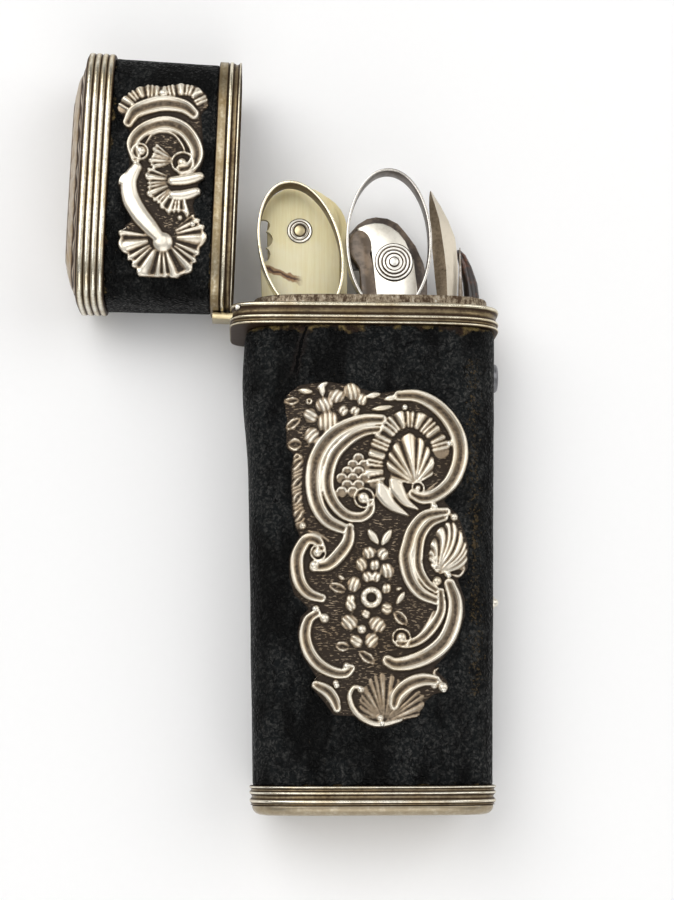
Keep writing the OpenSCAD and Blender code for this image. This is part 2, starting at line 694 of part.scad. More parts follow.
// A ridge that follows a path of [x, z] points on the front face
module ridge(path, w, h) {
    m = len(path);
    function at(x, z, out) = [x, front_y(x, z, out), z];
    rings = [for (i = [0 : m - 1])
        let (p = path[i], a = path[max(0, i - 1)], b = path[min(m - 1, i + 1)],
            d = b - a, l = norm(d), n = [-d[1] / l, d[0] / l],
            e = min(1, min(i, m - 1 - i) / 1.5 + 0.35), hw = w / 2 * e, hh = h * e)
        [at(p[0] + n[0] * hw, p[1] + n[1] * hw, sheet_t / 2),
            at(p[0] + n[0] * hw * 0.45, p[1] + n[1] * hw * 0.45, sheet_t + hh),
            at(p[0] - n[0] * hw * 0.45, p[1] - n[1] * hw * 0.45, sheet_t + hh),
            at(p[0] - n[0] * hw, p[1] - n[1] * hw, sheet_t / 2)]];
    skin_rings(rings);
}

// A rounded boss on the front face
module boss(x, z, r, h, sides = 12) {
    translate([x, front_y(x, z, sheet_t / 2), z]) rotate([90, 0, 0]) rotate_extrude($fn = sides)
        polygon(concat([[0, 0]], [for (a = [0 : 45 : 90]) [r * cos(a), (h + sheet_t / 2) * sin(a)]]));
}

// The sheet under the ornament, cut to an outline of [x, z] points
module sheet(outline, z0, z1) {
    intersection() {
        flat(outline, -12, 11);
        difference() {
            case_solid(z0, z1, sheet_t);
            case_solid(z0 - 1, z1 + 1, glue);
        }
    }
}

module body_plaque() {
    color(silver) lay() difference() {
        body_relief();
        pins(body_pins, pin_gap);
    }
}

module body_relief() {
    union() {
        sheet([[-12.75, 60.65], [-8.35, 62.75], [-4.35, 62.35], [-0.35, 61.35], [2.65, 61.45],
            [6.65, 61.55], [10.65, 59.55], [13.45, 55.15], [13.55, 49.15], [11.65, 45.45],
            [13.45, 41.65], [13.75, 37.15], [13.15, 32.15], [13.05, 26.15], [10.65, 21.65],
            [9.45, 17.55], [5.65, 13.65], [1.65, 12.05], [-3.35, 13.35], [-5.95, 13.95],
            [-8.75, 18.65], [-10.35, 22.65], [-11.15, 28.15], [-9.75, 30.15], [-11.95, 33.65],
            [-11.65, 38.15], [-10.15, 41.15], [-11.35, 44.65], [-11.25, 51.15],
            [-11.75, 55.15], [-13.15, 57.15]], plate_h + base_band_h, seam_z - rim_h);
        // upper right scroll and left scroll, each with an inner ridge
        ridge(arc(5.55, 52.65, 7.8, 8.4, 105, -90, 12), 1.5, scroll_h);
        ridge(arc(5.55, 52.65, 6.3, 6.9, 80, -60, 9), 0.8, scroll_h * 0.6);
        ridge(arc(-1.45, 49.05, 8.0, 8.4, 70, 250, 11), 1.4, scroll_h);
        ridge(arc(-1.45, 49.05, 6.5, 6.9, 75, 245, 9), 0.9, scroll_h * 0.8);
        ridge(arc(-1.45, 49.05, 5.1, 5.4, 80, 300, 10), 0.9, scroll_h * 0.7);
        ridge(arc(-8.35, 39.95, 5.0, 4.6, 10, -95, 6), 1.5, scroll_h * 0.9);
        ridge(arc(-7.65, 34.95, 4.1, 4.3, 100, 265, 8), 1.2, scroll_h);
        ridge(arc(-4.95, 25.35, 6.0, 6.0, 130, 295, 8), 1.2, scroll_h);
        ridge(arc(1.65, 17.45, 5.1, 5.1, 170, 330, 7), 1.1, scroll_h * 0.9);
        ridge(arc(7.65, 14.15, 5.2, 5.2, 85, 170, 5), 1.4, scroll_h);
        ridge([[-8.15, 18.45], [-6.95, 17.45], [-6.15, 15.95], [-5.95, 14.45]], 1.6, scroll_h * 0.8);
        // right shell and the scroll below it
        for (r = [0 : 2])
            ridge(arc(9.85, 37.15, 5.9 - r * 1.25, 6.9 - r * 1.3, 70, 262 - r * 8, 9), 1.1 - r * 0.15,
                scroll_h * (1 - r * 0.2));
        ridge(arc(5.55, 27.65, 7.4, 7.4, 40, -115, 9), 1.5, scroll_h);
        ridge(arc(5.55, 28.05, 5.4, 5.4, 30, -105, 8), 0.9, scroll_h * 0.7);
        // volutes and berries
        for (b = [[6.55, 47.35, 1.1], [-1.45, 45.95, 1.2], [-8.05, 37.55, 1.0], [-4.05, 20.95, 1.0],
            [9.45, 33.45, 1.0], [4.05, 25.35, 1.0], [1.05, 18.35, 0.9]])
            boss(b[0], b[1], b[2], scroll_h);
        // fluted shell
        for (a = [60 : 15 : 165])
            ray([4.55, 48.75], a, 2.0, 5.2, 0.7, scroll_h * 0.6);
        // flowers
        for (f = [[-0.45, 30.95, 1.5], [-1.85, 26.35, 1.1], [-7.05, 57.05, 1.3], [-0.15, 37.55, 1.0]])
            boss(f[0], f[1], f[2], scroll_h * 0.9);
        for (f = [[-2.95, 32.95], [1.85, 32.25], [2.05, 29.45], [-3.55, 27.35], [0.45, 27.15],
            [-2.65, 24.55], [-0.35, 24.65], [-1.75, 36.05], [1.45, 36.15], [-9.35, 57.85],
            [-9.35, 55.05], [-7.35, 59.45], [-5.45, 60.45], [-3.25, 61.15]])
            boss(f[0], f[1], 0.9, scroll_h * 0.7, sides = 8);
    }
}

body_pins = [[4.55, 59.05], [11.05, 53.75], [8.85, 44.35], [-8.65, 29.45], [10.75, 34.35], [-5.55, 18.45],
    [0.95, 13.05], [9.85, 17.85]];

// Round-headed pins through the sheet, each size larger by gap
module pins(places, gap = 0) {
    for (p = places)
        translate([p[0], front_y(p[0], p[1], sheet_t + 0.08), p[1]]) {
            sphere(r = plaque_pin_r + gap, $fn = 14);
            rotate([-90, 0, 0]) cylinder(r = plaque_pin_r / 2 + gap, h = 1, $fn = 13);
        }
}

module body_plaque_pins() {
    color(silver) lay() difference() {
        pins(body_pins);
        case_solid(plate_h, seam_z, glue);
    }
}

// Ornament of the lid: points are [x, height above the seam]
lid_outline = [[10.1, 18.7], [12.3, 17.6], [13.3, 15.5], [13.8, 12], [13.5, 7.8], [11.5, 5.2],
    [9.1, 4.7], [6.6, 5.2], [3.5, 4.7], [0.8, 5.1], [-2, 5.3], [-4.4, 5.6], [-7.5, 4.5],
    [-10.7, 4.6], [-13.6, 6.1], [-15, 10.2], [-13.7, 14.3], [-10.8, 16.8], [-7.5, 17],
    [-5.3, 16.2], [-2, 18.1], [0.8, 17.5], [5.1, 18.1]];
lid_ruffle = [[10.1, 18.2], [11.5, 17.4], [12.4, 16.3], [13, 14.3], [13.2, 12], [13.2, 9.6],
    [12.9, 7.8], [12.2, 6.5], [11.1, 5.6]];
lid_crescent = [[8.3, 17.4], [9.5, 16.4], [10.4, 15.3], [11, 13.6], [11.2, 11.8], [11.2, 9.5],
    [10.7, 7.4], [10, 6.3], [9.1, 5.6]];
lid_scroll = [[6, 16.4], [7.1, 15.6], [7.8, 14.6], [8.6, 12.9], [8.9, 11], [8.3, 9],
    [7.2, 7.2], [5.8, 6.2], [4.2, 5.6], [2.8, 5.6], [1.7, 6], [0.9, 7], [1, 8.3]];
lid_inner_scroll = [[4.2, 14], [5.7, 13.2], [6.5, 11.5], [6, 9.6], [4.8, 8.5], [3.5, 8.4]];
lid_lobe = [[0.9, 15.1], [-0.1, 16.1], [-1.7, 16.6], [-3.3, 16.3], [-4.9, 15.5], [-6.5, 14.3],
    [-8.1, 12.8], [-9.3, 11.6]];
// Hub and reach of the small ribbed fan, then of the ruffled rosette
fan_hub = [-4.7, 12];
rosette_hub = [-9.6, 10.5];

// A straight ridge along a ray from a hub
module ray(hub, angle, r0, r1, w, h) {
    d = [cos(angle), sin(angle)];
    ridge([hub + r0 * d, hub + (r0 + r1) / 2 * d, hub + r1 * d], w, h);
}

module lid_relief() {
    union() {
        sheet(above_seam(lid_outline), lid_skin_base, lid_skin_top);
        ridge(above_seam(lid_ruffle), 1.3, scroll_h * 0.7);
        ridge(above_seam(lid_crescent), 1.1, scroll_h * 0.9);
        ridge(above_seam(lid_scroll), 1.2, scroll_h);
        ridge(above_seam(lid_inner_scroll), 0.8, scroll_h * 0.7);
        ridge(above_seam(lid_lobe), 1.6, scroll_h * 0.9);
        for (a = [-25 : 22 : 63])
            ray(fan_hub + [0, seam_z], a, 1.5, 4.6, 0.8, scroll_h * 0.6);
        for (x = [-0.8, -2.9])
            ridge(above_seam([[x + 0.2, 9.7], [x, 7.7], [x - 0.3, 5.7]]), 1.0, scroll_h * 0.6);
        for (a = [85 : 24 : 277])
            ray(rosette_hub + [0, seam_z], a, 2.3, 5.3, 0.9, scroll_h * 0.6);
        for (b = [[2.0, 8.6, 0.9], [3.5, 14.8, 0.9], [4.2, 11.4, 0.9], [-10.7, 10.5, 1.3]])
            boss(b[0], seam_z + b[1], b[2], scroll_h);
    }
}

module lid_plaque() {
    color(silver) lay() swing_lid() difference() {
        lid_relief();
        pins(above_seam(lid_pins), pin_gap);
    }
}

lid_pins = [[12.2, 11.9], [-8.0, 6.4]];

module lid_plaque_pins() {
    color(silver) lay() swing_lid() difference() {
        pins(above_seam(lid_pins));
        case_solid(seam_z, top_z, glue);
    }
}

body_core();
body_skin();
base_plate();
base_band();
body_rim();
collar();
tool_block();
hinge_tubes();
hinge_pin();
body_plaque();
body_plaque_pins();
button_bush();
catch_spring();
spring_rivet();
catch_tongue();
push_button();
lid_core();
lid_skin();
lid_lining();
lid_rim();
lid_cap_band();
lid_dome();
lid_hinge_tube();
lid_plaque();
lid_plaque_pins();
scissors_screw();
left_bow();
left_blade();
right_bow();
right_blade();
tablet_back();
tablet_front();
tablet_rivet();
tablet_washers();
knife_back_scale();
knife_plate();
knife_front_scale();
knife_pivot();
knife_blade();
leaf_tool();
steel_spike();
horn_handle();
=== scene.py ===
# %% [markdown]
# # A shagreen etui, lying open on a white table
# An etui is a pocket case for sewing and writing tools. This one has a wooden case in black
# grained skin, reeded silver mounts, and two embossed silver plaques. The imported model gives
# the frame: the real size of each piece and what it moves with. This lesson dresses it, so
# each piece below is made where its solid is, and then rides on the same body.

# %% Load the frame
import math

import bpy
import numpy as np
from mathutils import Matrix, Vector, noise


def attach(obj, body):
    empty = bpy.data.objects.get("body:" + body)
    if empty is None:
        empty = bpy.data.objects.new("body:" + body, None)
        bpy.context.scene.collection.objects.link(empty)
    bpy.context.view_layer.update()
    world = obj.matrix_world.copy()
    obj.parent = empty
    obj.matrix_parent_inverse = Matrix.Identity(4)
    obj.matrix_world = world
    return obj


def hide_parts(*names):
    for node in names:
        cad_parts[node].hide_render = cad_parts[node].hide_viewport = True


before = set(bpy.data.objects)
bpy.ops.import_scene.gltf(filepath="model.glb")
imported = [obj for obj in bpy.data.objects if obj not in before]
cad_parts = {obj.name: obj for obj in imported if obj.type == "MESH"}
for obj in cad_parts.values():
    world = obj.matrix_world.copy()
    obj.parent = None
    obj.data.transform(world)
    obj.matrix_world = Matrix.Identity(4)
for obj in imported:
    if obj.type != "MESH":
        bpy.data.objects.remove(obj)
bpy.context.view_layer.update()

# %% [markdown]
# ## The camera and the light
# The photograph looks almost straight down, from 28 cm above the table, a little from the
# foot of the case. The background is white paper under a wide soft light. Silver only looks
# like silver when it has something dark to mirror, so the sky is darker overhead, where a
# photographer would stand, and pale all round the table.

# %% Camera
VIEW_FROM = Vector((-0.004346, -0.047305, 0.28284))
VIEW_TURN = Vector((0.1586, -0.0463, 0.0013))
eye = bpy.data.cameras.new("photographer")
eye.lens = 73.45
eye.sensor_width = 36
camera = bpy.data.objects.new("photographer", eye)
bpy.context.scene.collection.objects.link(camera)
camera.matrix_world = (Matrix.Translation(VIEW_FROM)
                       @ Matrix.Rotation(VIEW_TURN.length, 4, VIEW_TURN.normalized()))
bpy.context.scene.camera = camera
print("camera", round(VIEW_FROM.z * 1000), "mm above the table")

# %% Lamps and sky
bpy.context.scene.view_settings.view_transform = "Standard"


def soft_lamp(name, place, size, watts, towards=(0, 0, 0)):
    """A square lamp that faces a point on the table."""
    lamp = bpy.data.lights.new(name, "AREA")
    lamp.shape, lamp.size, lamp.energy = "SQUARE", size, watts
    holder = bpy.data.objects.new(name, lamp)
    bpy.context.scene.collection.objects.link(holder)
    holder.location = place
    aim = Vector(towards) - Vector(place)
    holder.rotation_euler = aim.to_track_quat("-Z", "Y").to_euler()
    return holder


soft_lamp("window", (-0.36, 0.34, 0.74), 0.75, 4.6)
soft_lamp("far_side", (0.55, 0.2, 0.6), 0.6, 2.0)
soft_lamp("near_side", (0.05, -0.58, 0.55), 0.6, 1.9)

sky = bpy.data.worlds.new("paper_tent")
bpy.context.scene.world = sky
sky.use_nodes = True
tent = sky.node_tree
tent.nodes.clear()
way = tent.nodes.new("ShaderNodeTexCoord")
split = tent.nodes.new("ShaderNodeSeparateXYZ")
ramp = tent.nodes.new("ShaderNodeValToRGB")
light = tent.nodes.new("ShaderNodeBackground")
out = tent.nodes.new("ShaderNodeOutputWorld")
tent.links.new(way.outputs["Generated"], split.inputs[0])
tent.links.new(split.outputs["Z"], ramp.inputs[0])
tent.links.new(ramp.outputs["Color"], light.inputs["Color"])
tent.links.new(light.outputs[0], out.inputs["Surface"])
stops = ramp.color_ramp.elements
stops[0].position, stops[0].color = 0.0, (0.95, 0.95, 0.95, 1)
stops[1].position, stops[1].color = 1.0, (0.70, 0.70, 0.70, 1)
for at, level in ((0.28, 0.92), (0.42, 0.2), (0.8, 0.2), (0.93, 0.5)):
    stop = stops.new(at)
    stop.color = (level, level, level, 1)
light.inputs["Strength"].default_value = 1.0

# %% [markdown]
# ## Sizes of the case
# The case tapers from its seam to its base, and its section is a squared oval. The numbers
# are the frame's own, in millimetres, with the case standing up: x to the right, y to the
# back, z up. `lay` puts a finished mesh on its back as the frame has it, and swings the
# lid's pieces open about the hinge first.

# %% Sizes
BASE_W, SEAM_W, BASE_D, SEAM_D, SEAM = 34.9, 37.8, 16.0, 16.8, 75.0
PLATE_H, BASE_BAND_H, RIM_H, LID_RIM_H, CAP_BAND_H = 1.4, 2.85, 3.4, 3.5, 4.1
TOP, DOME_H, REED_OUT, SKIN_T = 100.8, 2.4, 0.6, 0.45
COLLAR_IN, COLLAR_T, COLLAR_DOWN, COLLAR_UP = 1.15, 0.4, 5.0, 1.5
CAP_TOP = TOP - DOME_H
HINGE_X, HINGE_Z, OPEN_ANGLE = -20.1, 74.2, math.radians(88)
SHOULDER, SHOULDER_POWER, OVAL_POWER = 20.75, 7.0, 3.8
ORIGIN = (-13.450534, 57.523780, 9.12234)
AROUND = 300
MM = 0.001


def half_w(z):
    return BASE_W / 2 + (SEAM_W - BASE_W) / 2 * z / SEAM


def half_d(z):
    return BASE_D / 2 + (SEAM_D - BASE_D) / 2 * z / SEAM


def front_y(x, z, out=0.0):
    """The front face's y at a place on it, moved outwards by out."""
    side = 1 - (np.abs(x) / (half_w(z) + out)) ** OVAL_POWER
    return -(half_d(z) + out) * np.maximum(0.001, side) ** (1 / OVAL_POWER)


def oval(z, out, shoulder=False):
    """The section's outline at a height: AROUND points an equal walk apart, as (x, y)."""
    turn = np.linspace(0, 2 * np.pi, 2401)
    c, s = np.cos(turn), np.sin(turn)
    left = (c < 0) & shoulder
    width = np.where(left, SHOULDER + out, half_w(z) + out)
    power = np.where(left, 2 / SHOULDER_POWER, 2 / OVAL_POWER)
    x = width * np.sign(c) * np.abs(c) ** power
    y = (half_d(z) + out) * np.sign(s) * np.abs(s) ** power
    walk = np.concatenate([[0], np.cumsum(np.hypot(np.diff(x), np.diff(y)))])
    steps = np.linspace(0, walk[-1], AROUND, endpoint=False)
    return np.interp(steps, walk, x), np.interp(steps, walk, y)


print("half width at the seam", half_w(SEAM), "mm, half depth", half_d(SEAM), "mm")

# %% Helpers for meshes
def alone():
    """Nothing selected, so that an operator acts only on what is added next."""
    if bpy.context.object and bpy.context.object.mode != "OBJECT":
        bpy.ops.object.mode_set(mode="OBJECT")
    bpy.ops.object.select_all(action="DESELECT")


def only(piece):
    alone()
    piece.select_set(True)
    bpy.context.view_layer.objects.active = piece


def places(piece):
    co = np.empty(len(piece.data.vertices) * 3)
    piece.data.vertices.foreach_get("co", co)
    return co.reshape(-1, 3)


def put(piece, co):
    piece.data.vertices.foreach_set("co", np.asarray(co, float).ravel())
    piece.data.update()


def mark(piece, name, values):
    """A number for each corner point, which the piece's finish can read."""
    layer = piece.data.attributes.get(name) or piece.data.attributes.new(name, "FLOAT", "POINT")
    layer.data.foreach_set("value", np.asarray(values, np.float32))


def lay(piece, on_lid=False):
    """From the standing case in mm to the frame in metres, a lid's piece swung open."""
    co = places(piece)
    x, y, z = co[:, 0].copy(), co[:, 1], co[:, 2].copy()
    if on_lid:
        c, s = math.cos(OPEN_ANGLE), math.sin(OPEN_ANGLE)
        dx, dz = x - HINGE_X, z - HINGE_Z
        x, z = HINGE_X + dx * c - dz * s, HINGE_Z + dx * s + dz * c
    put(piece, np.stack([x - ORIGIN[0], z - ORIGIN[1], ORIGIN[2] - y], 1) * MM)
    return piece


def smooth(piece, degrees=40):
    only(piece)
    bpy.ops.object.shade_smooth_by_angle(angle=math.radians(degrees))


def tidy(piece, merge=1e-5):
    """Merges double points and turns every face outwards."""
    only(piece)
    bpy.ops.object.mode_set(mode="EDIT")
    bpy.ops.mesh.select_all(action="SELECT")
    bpy.ops.mesh.remove_doubles(threshold=merge)
    bpy.ops.mesh.normals_make_consistent(inside=False)
    bpy.ops.object.mode_set(mode="OBJECT")


def finish_piece(piece, body, finish, *nodes):
    """Gives the piece its finish, its body, and the solids that it stands for."""
    piece.data.materials.clear()
    piece.data.materials.append(finish)
    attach(piece, body)
    if nodes:
        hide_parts(*nodes)
    print(piece.name, len(piece.data.vertices), "points")


# %% [markdown]
# ## Finishes
# Every finish is made of nodes. `Wire` wraps a socket so that masks are written as sums and
# products, and `Finish.node` adds any other node. The patterns read Object coordinates,
# scaled to millimetres, so grain and scratches have their real size, and they read the
# numbers that `mark` leaves on the points, such as how deep in a groove a point lies.

# %% Wires and finishes
class Wire:
    """A socket with Python's arithmetic."""

    def __init__(self, finish, socket):
        self.finish, self.socket = finish, socket

    def __add__(self, other):
        return self.finish.maths("ADD", self, other)

    def __sub__(self, other):
        return self.finish.maths("SUBTRACT", self, other)

    def __rsub__(self, other):
        return self.finish.maths("SUBTRACT", other, self)

    def __mul__(self, other):
        return self.finish.maths("MULTIPLY", self, other)

    def __truediv__(self, other):
        return self.finish.maths("DIVIDE", self, other)

    def __pow__(self, other):
        return self.finish.maths("POWER", self, other)

    __radd__, __rmul__ = __add__, __mul__

    def between(self, low, high):
        """0 below low, 1 above high, and smooth on the way; low may be the larger."""
        return self.finish.node("ShaderNodeMapRange", {"interpolation_type": "SMOOTHSTEP"},
                                {"Value": self, "From Min": low, "From Max": high})

    def at_most(self, other):
        return self.finish.maths("MINIMUM", self, other)

    def at_least(self, other):
        return self.finish.maths("MAXIMUM", self, other)


class Finish:
    """A material and the few calls that its recipe is written in."""

    def __init__(self, name, **sockets):
        self.material = bpy.data.materials.new(name)
        self.material.use_nodes = True
        self.tree = self.material.node_tree
        self.shader = self.tree.nodes["Principled BSDF"]
        for socket, value in sockets.items():
            self.shader.inputs[socket.replace("_", " ")].default_value = value
        here = self.tree.nodes.new("ShaderNodeTexCoord")
        self.mm = self.node("ShaderNodeMapping", {}, {
            "Vector": Wire(self, here.outputs["Object"]), "Scale": (1000, 1000, 1000)})

    def node(self, kind, settings, values, output=0):
        made = self.tree.nodes.new(kind)
        for key, value in settings.items():
            if key == "stops":
                for i, (at, colour) in enumerate(value):
                    ramp_stops = made.color_ramp.elements
                    stop = ramp_stops[i] if i < 2 else ramp_stops.new(at)
                    stop.position, stop.color = at, (*colour, 1)
            else:
                setattr(made, key, value)
        for key, value in values.items():
            if isinstance(value, Wire):
                self.tree.links.new(value.socket, made.inputs[key])
            else:
                made.inputs[key].default_value = value
        return Wire(self, made.outputs[output])

    def maths(self, operation, *values):
        return self.node("ShaderNodeMath", {"operation": operation}, dict(enumerate(values)))

    def mix(self, factor, first, second, blend="MIX"):
        ends = {6: first, 7: second}
        ends = {k: v if isinstance(v, Wire) else (*v, 1) for k, v in ends.items()}
        return self.node("ShaderNodeMix", {"data_type": "RGBA", "blend_type": blend},
                         {0: factor, **ends}, output=2)

    def stretched(self, x=1, y=1, z=1):
        return self.node("ShaderNodeMapping", {}, {"Vector": self.mm, "Scale": (x, y, z)})

    def cloud(self, scale, detail=3, rough=0.55, where=None):
        """Noise with its scale in features per millimetre."""
        return self.node("ShaderNodeTexNoise", {}, {"Vector": where or self.mm, "Scale": scale,
                                                    "Detail": detail, "Roughness": rough})

    def cells(self, scale, feature="F1", where=None):
        return self.node("ShaderNodeTexVoronoi", {"feature": feature},
                         {"Vector": where or self.mm, "Scale": scale})

    def marked(self, name):
        return self.node("ShaderNodeAttribute", {"attribute_name": name}, {}, output=2)

    def xyz(self):
        made = self.tree.nodes.new("ShaderNodeSeparateXYZ")
        self.tree.links.new(self.mm.socket, made.inputs[0])
        return [Wire(self, made.outputs[i]) for i in range(3)]

    def bump(self, height, depth_mm, strength=1.0, under=None):
        values = {"Height": height, "Distance": depth_mm * MM, "Strength": strength}
        if under is not None:
            values["Normal"] = under
        return self.node("ShaderNodeBump", {}, values)

    def done(self, **sockets):
        for socket, wire in sockets.items():
            self.tree.links.new(wire.socket, self.shader.inputs[socket.replace("_", " ")])
        return self.material


print("finishes are written in", Finish.node.__name__, "and", Wire.__name__)

# %% [markdown]
# ### Silver
# Old silver is bright where hands rub it and brown to black in its hollows. The reeded
# mounts carry a number that is 1 on a reed's crest and 0 in its groove. The plaques carry
# how far each point stands above what is round it. Both feed one recipe: a dark, rougher
# tarnish below, clean warm metal on top, and a ragged border between them.

# %% Silver finishes
def silver(name, clean, middle, tarnish, mask, roughs=(0.22, 0.34, 0.5), metals=(1, 0.9, 0.5),
           stain=0.0, spots=0.35, bump_mm=0.012):
    """Silver whose mask, a call on the finish, runs from 0, black, over half to 1, clean."""
    f = Finish(name, Metallic=1.0, Specular_IOR_Level=0.2)
    fine = f.cloud(2.2, 4, 0.6)
    patch = f.cloud(0.35, 3, 0.6)
    level = mask(f) + (fine - 0.5) * 0.4 + (patch - 0.5) * spots
    half = level.between(0.12, 0.5)
    bright = level.between(0.5, 0.95)
    colour = f.mix(bright, f.mix(half, tarnish, middle), clean)
    if stain:
        warm = f.cloud(0.2, 3, 0.6).between(0.42, 0.68) * stain
        colour = f.mix(warm, colour, (0.74, 0.60, 0.38), "MULTIPLY")
    scratch = f.cloud(1.1, 4, 0.7, f.stretched(0.25, 5, 1))
    rough = (roughs[2] + half * (roughs[1] - roughs[2]) + bright * (roughs[0] - roughs[1])
             + (scratch - 0.5) * 0.14)
    metal = metals[2] + half * (metals[1] - metals[2]) + bright * (metals[0] - metals[1])
    height = scratch * 0.4 + fine * 0.6
    return f.done(Base_Color=colour, Roughness=rough, Metallic=metal,
                  Normal=f.bump(height, bump_mm, 0.6))


def by_reed(f):
    return f.marked("reed") * 1.5 - 0.62


def by_relief(f):
    """Light on what stands up, dark in the ground but for the light marks of the matting tool."""
    relief = f.marked("relief")
    matting = f.cloud(2.4, 2, 0.5, f.stretched(0.6, 2.2, 1.0)).between(0.50, 0.64)
    return (f.marked("crest") * 0.7 + relief * 1.76 - 0.74
            + matting * relief.between(0.42, 0.2) * 0.44)


def all_clean(f):
    return f.cloud(0.5, 2) * 0.3 + 0.75


# Painted shade: the inner face of a bow, marked by its `inner` number, is painted darker.
def inner_face_shaded(f):
    return f.cloud(0.5, 2) * 0.3 + 0.75 - f.marked("inner") * 0.62


def ringed(centre, radii):
    """A mask that is dark in turned rings round a point of the frame, in mm."""
    def mask(f):
        x, y, _ = f.xyz()
        away = f.maths("SQRT", (x - centre[0]) ** 2 + (y - centre[1]) ** 2)
        level = f.cloud(0.8, 3) * 0.3 + 0.85
        for r in radii:
            level = level - f.maths("ABSOLUTE", away - r).between(0.17, 0.04) * 0.95
        return level
    return mask


def mottled(f):
    return f.cloud(1.5, 5, 0.75, f.stretched(1, 0.55, 1)) * 2.6 - 0.95


def worn(f):
    return f.cloud(0.9, 5, 0.7) * 1.3 - 0.05


UMBER = (0.045, 0.026, 0.015)
mount_silver = silver("reeded_silver", (0.84, 0.80, 0.68), (0.27, 0.215, 0.135), UMBER, by_reed,
                      stain=0.55)
rim_silver = silver("rim_silver", (0.84, 0.78, 0.62), (0.24, 0.185, 0.105), UMBER, by_reed,
                    stain=0.5)
foot_silver = silver("foot_silver", (0.46, 0.40, 0.30), (0.34, 0.28, 0.19), (0.2, 0.15, 0.1), worn,
                     (0.3, 0.4, 0.5))
chased_silver = silver("embossed_silver", (0.77, 0.71, 0.60), (0.30, 0.235, 0.165),
                       (0.030, 0.021, 0.0145), by_relief, (0.36, 0.38, 0.6), (1, 0.95, 0.3),
                       stain=0.3, spots=0.12, bump_mm=0.012)
top_silver = silver("embossed_top_silver", (0.50, 0.42, 0.32), (0.24, 0.175, 0.115), UMBER, by_reed,
                    (0.34, 0.4, 0.5), stain=0.7)
plain_silver = silver("plain_silver", (0.80, 0.76, 0.67), (0.5, 0.43, 0.33), (0.2, 0.15, 0.1),
                      all_clean, (0.3, 0.38, 0.5))
# Painted light and shade: the leaf end's facets that face right are painted lighter, and those facing left
# darker.
leaf_silver = silver("leaf_end_silver", (0.60, 0.54, 0.44), (0.30, 0.235, 0.16), UMBER,
                     lambda f: f.marked("face") * 0.55 + 0.38, (0.4, 0.45, 0.5),
                     (0.6, 0.6, 0.5), spots=0.3)
bow_silver = silver("bow_silver", (0.60, 0.57, 0.52), (0.20, 0.175, 0.15), (0.10, 0.075, 0.055),
                    inner_face_shaded, (0.18, 0.3, 0.4))
bow_gilt = silver("bow_gilt", (0.84, 0.76, 0.55), (0.16, 0.105, 0.05), (0.07, 0.042, 0.02),
                  inner_face_shaded, (0.2, 0.3, 0.4))
rivet_gilt = silver("rivet_gilt", (0.52, 0.44, 0.27), (0.34, 0.25, 0.14), (0.16, 0.10, 0.05),
                    all_clean, (0.3, 0.4, 0.5))
boss_silver = silver("turned_boss", (0.90, 0.87, 0.80), (0.45, 0.37, 0.28), (0.05, 0.035, 0.025),
                     ringed((17.3, 25.93), (0.75, 1.35, 1.85, 2.4, 2.95)), (0.32, 0.38, 0.5))
washer_silver = silver("turned_washer", (0.84, 0.80, 0.70), (0.40, 0.32, 0.22),
                       (0.05, 0.035, 0.025), ringed((2.75, 30.68), (0.95, 1.45, 1.95)),
                       (0.3, 0.36, 0.5))
collar_silver = silver("mottled_silver", (0.66, 0.63, 0.55), (0.30, 0.24, 0.165),
                       (0.075, 0.045, 0.025), mottled, (0.45, 0.5, 0.65), (0.7, 0.7, 0.3))
dark_metal = silver("dark_button", (0.20, 0.20, 0.21), (0.12, 0.12, 0.12), (0.05, 0.05, 0.05),
                    all_clean, (0.3, 0.35, 0.5))
steel = silver("worn_steel", (0.42, 0.40, 0.38), (0.2, 0.165, 0.13), (0.07, 0.045, 0.03), worn,
               (0.3, 0.4, 0.6), bump_mm=0.02)
print("silver finishes:", len([m for m in bpy.data.materials if m.use_nodes]))
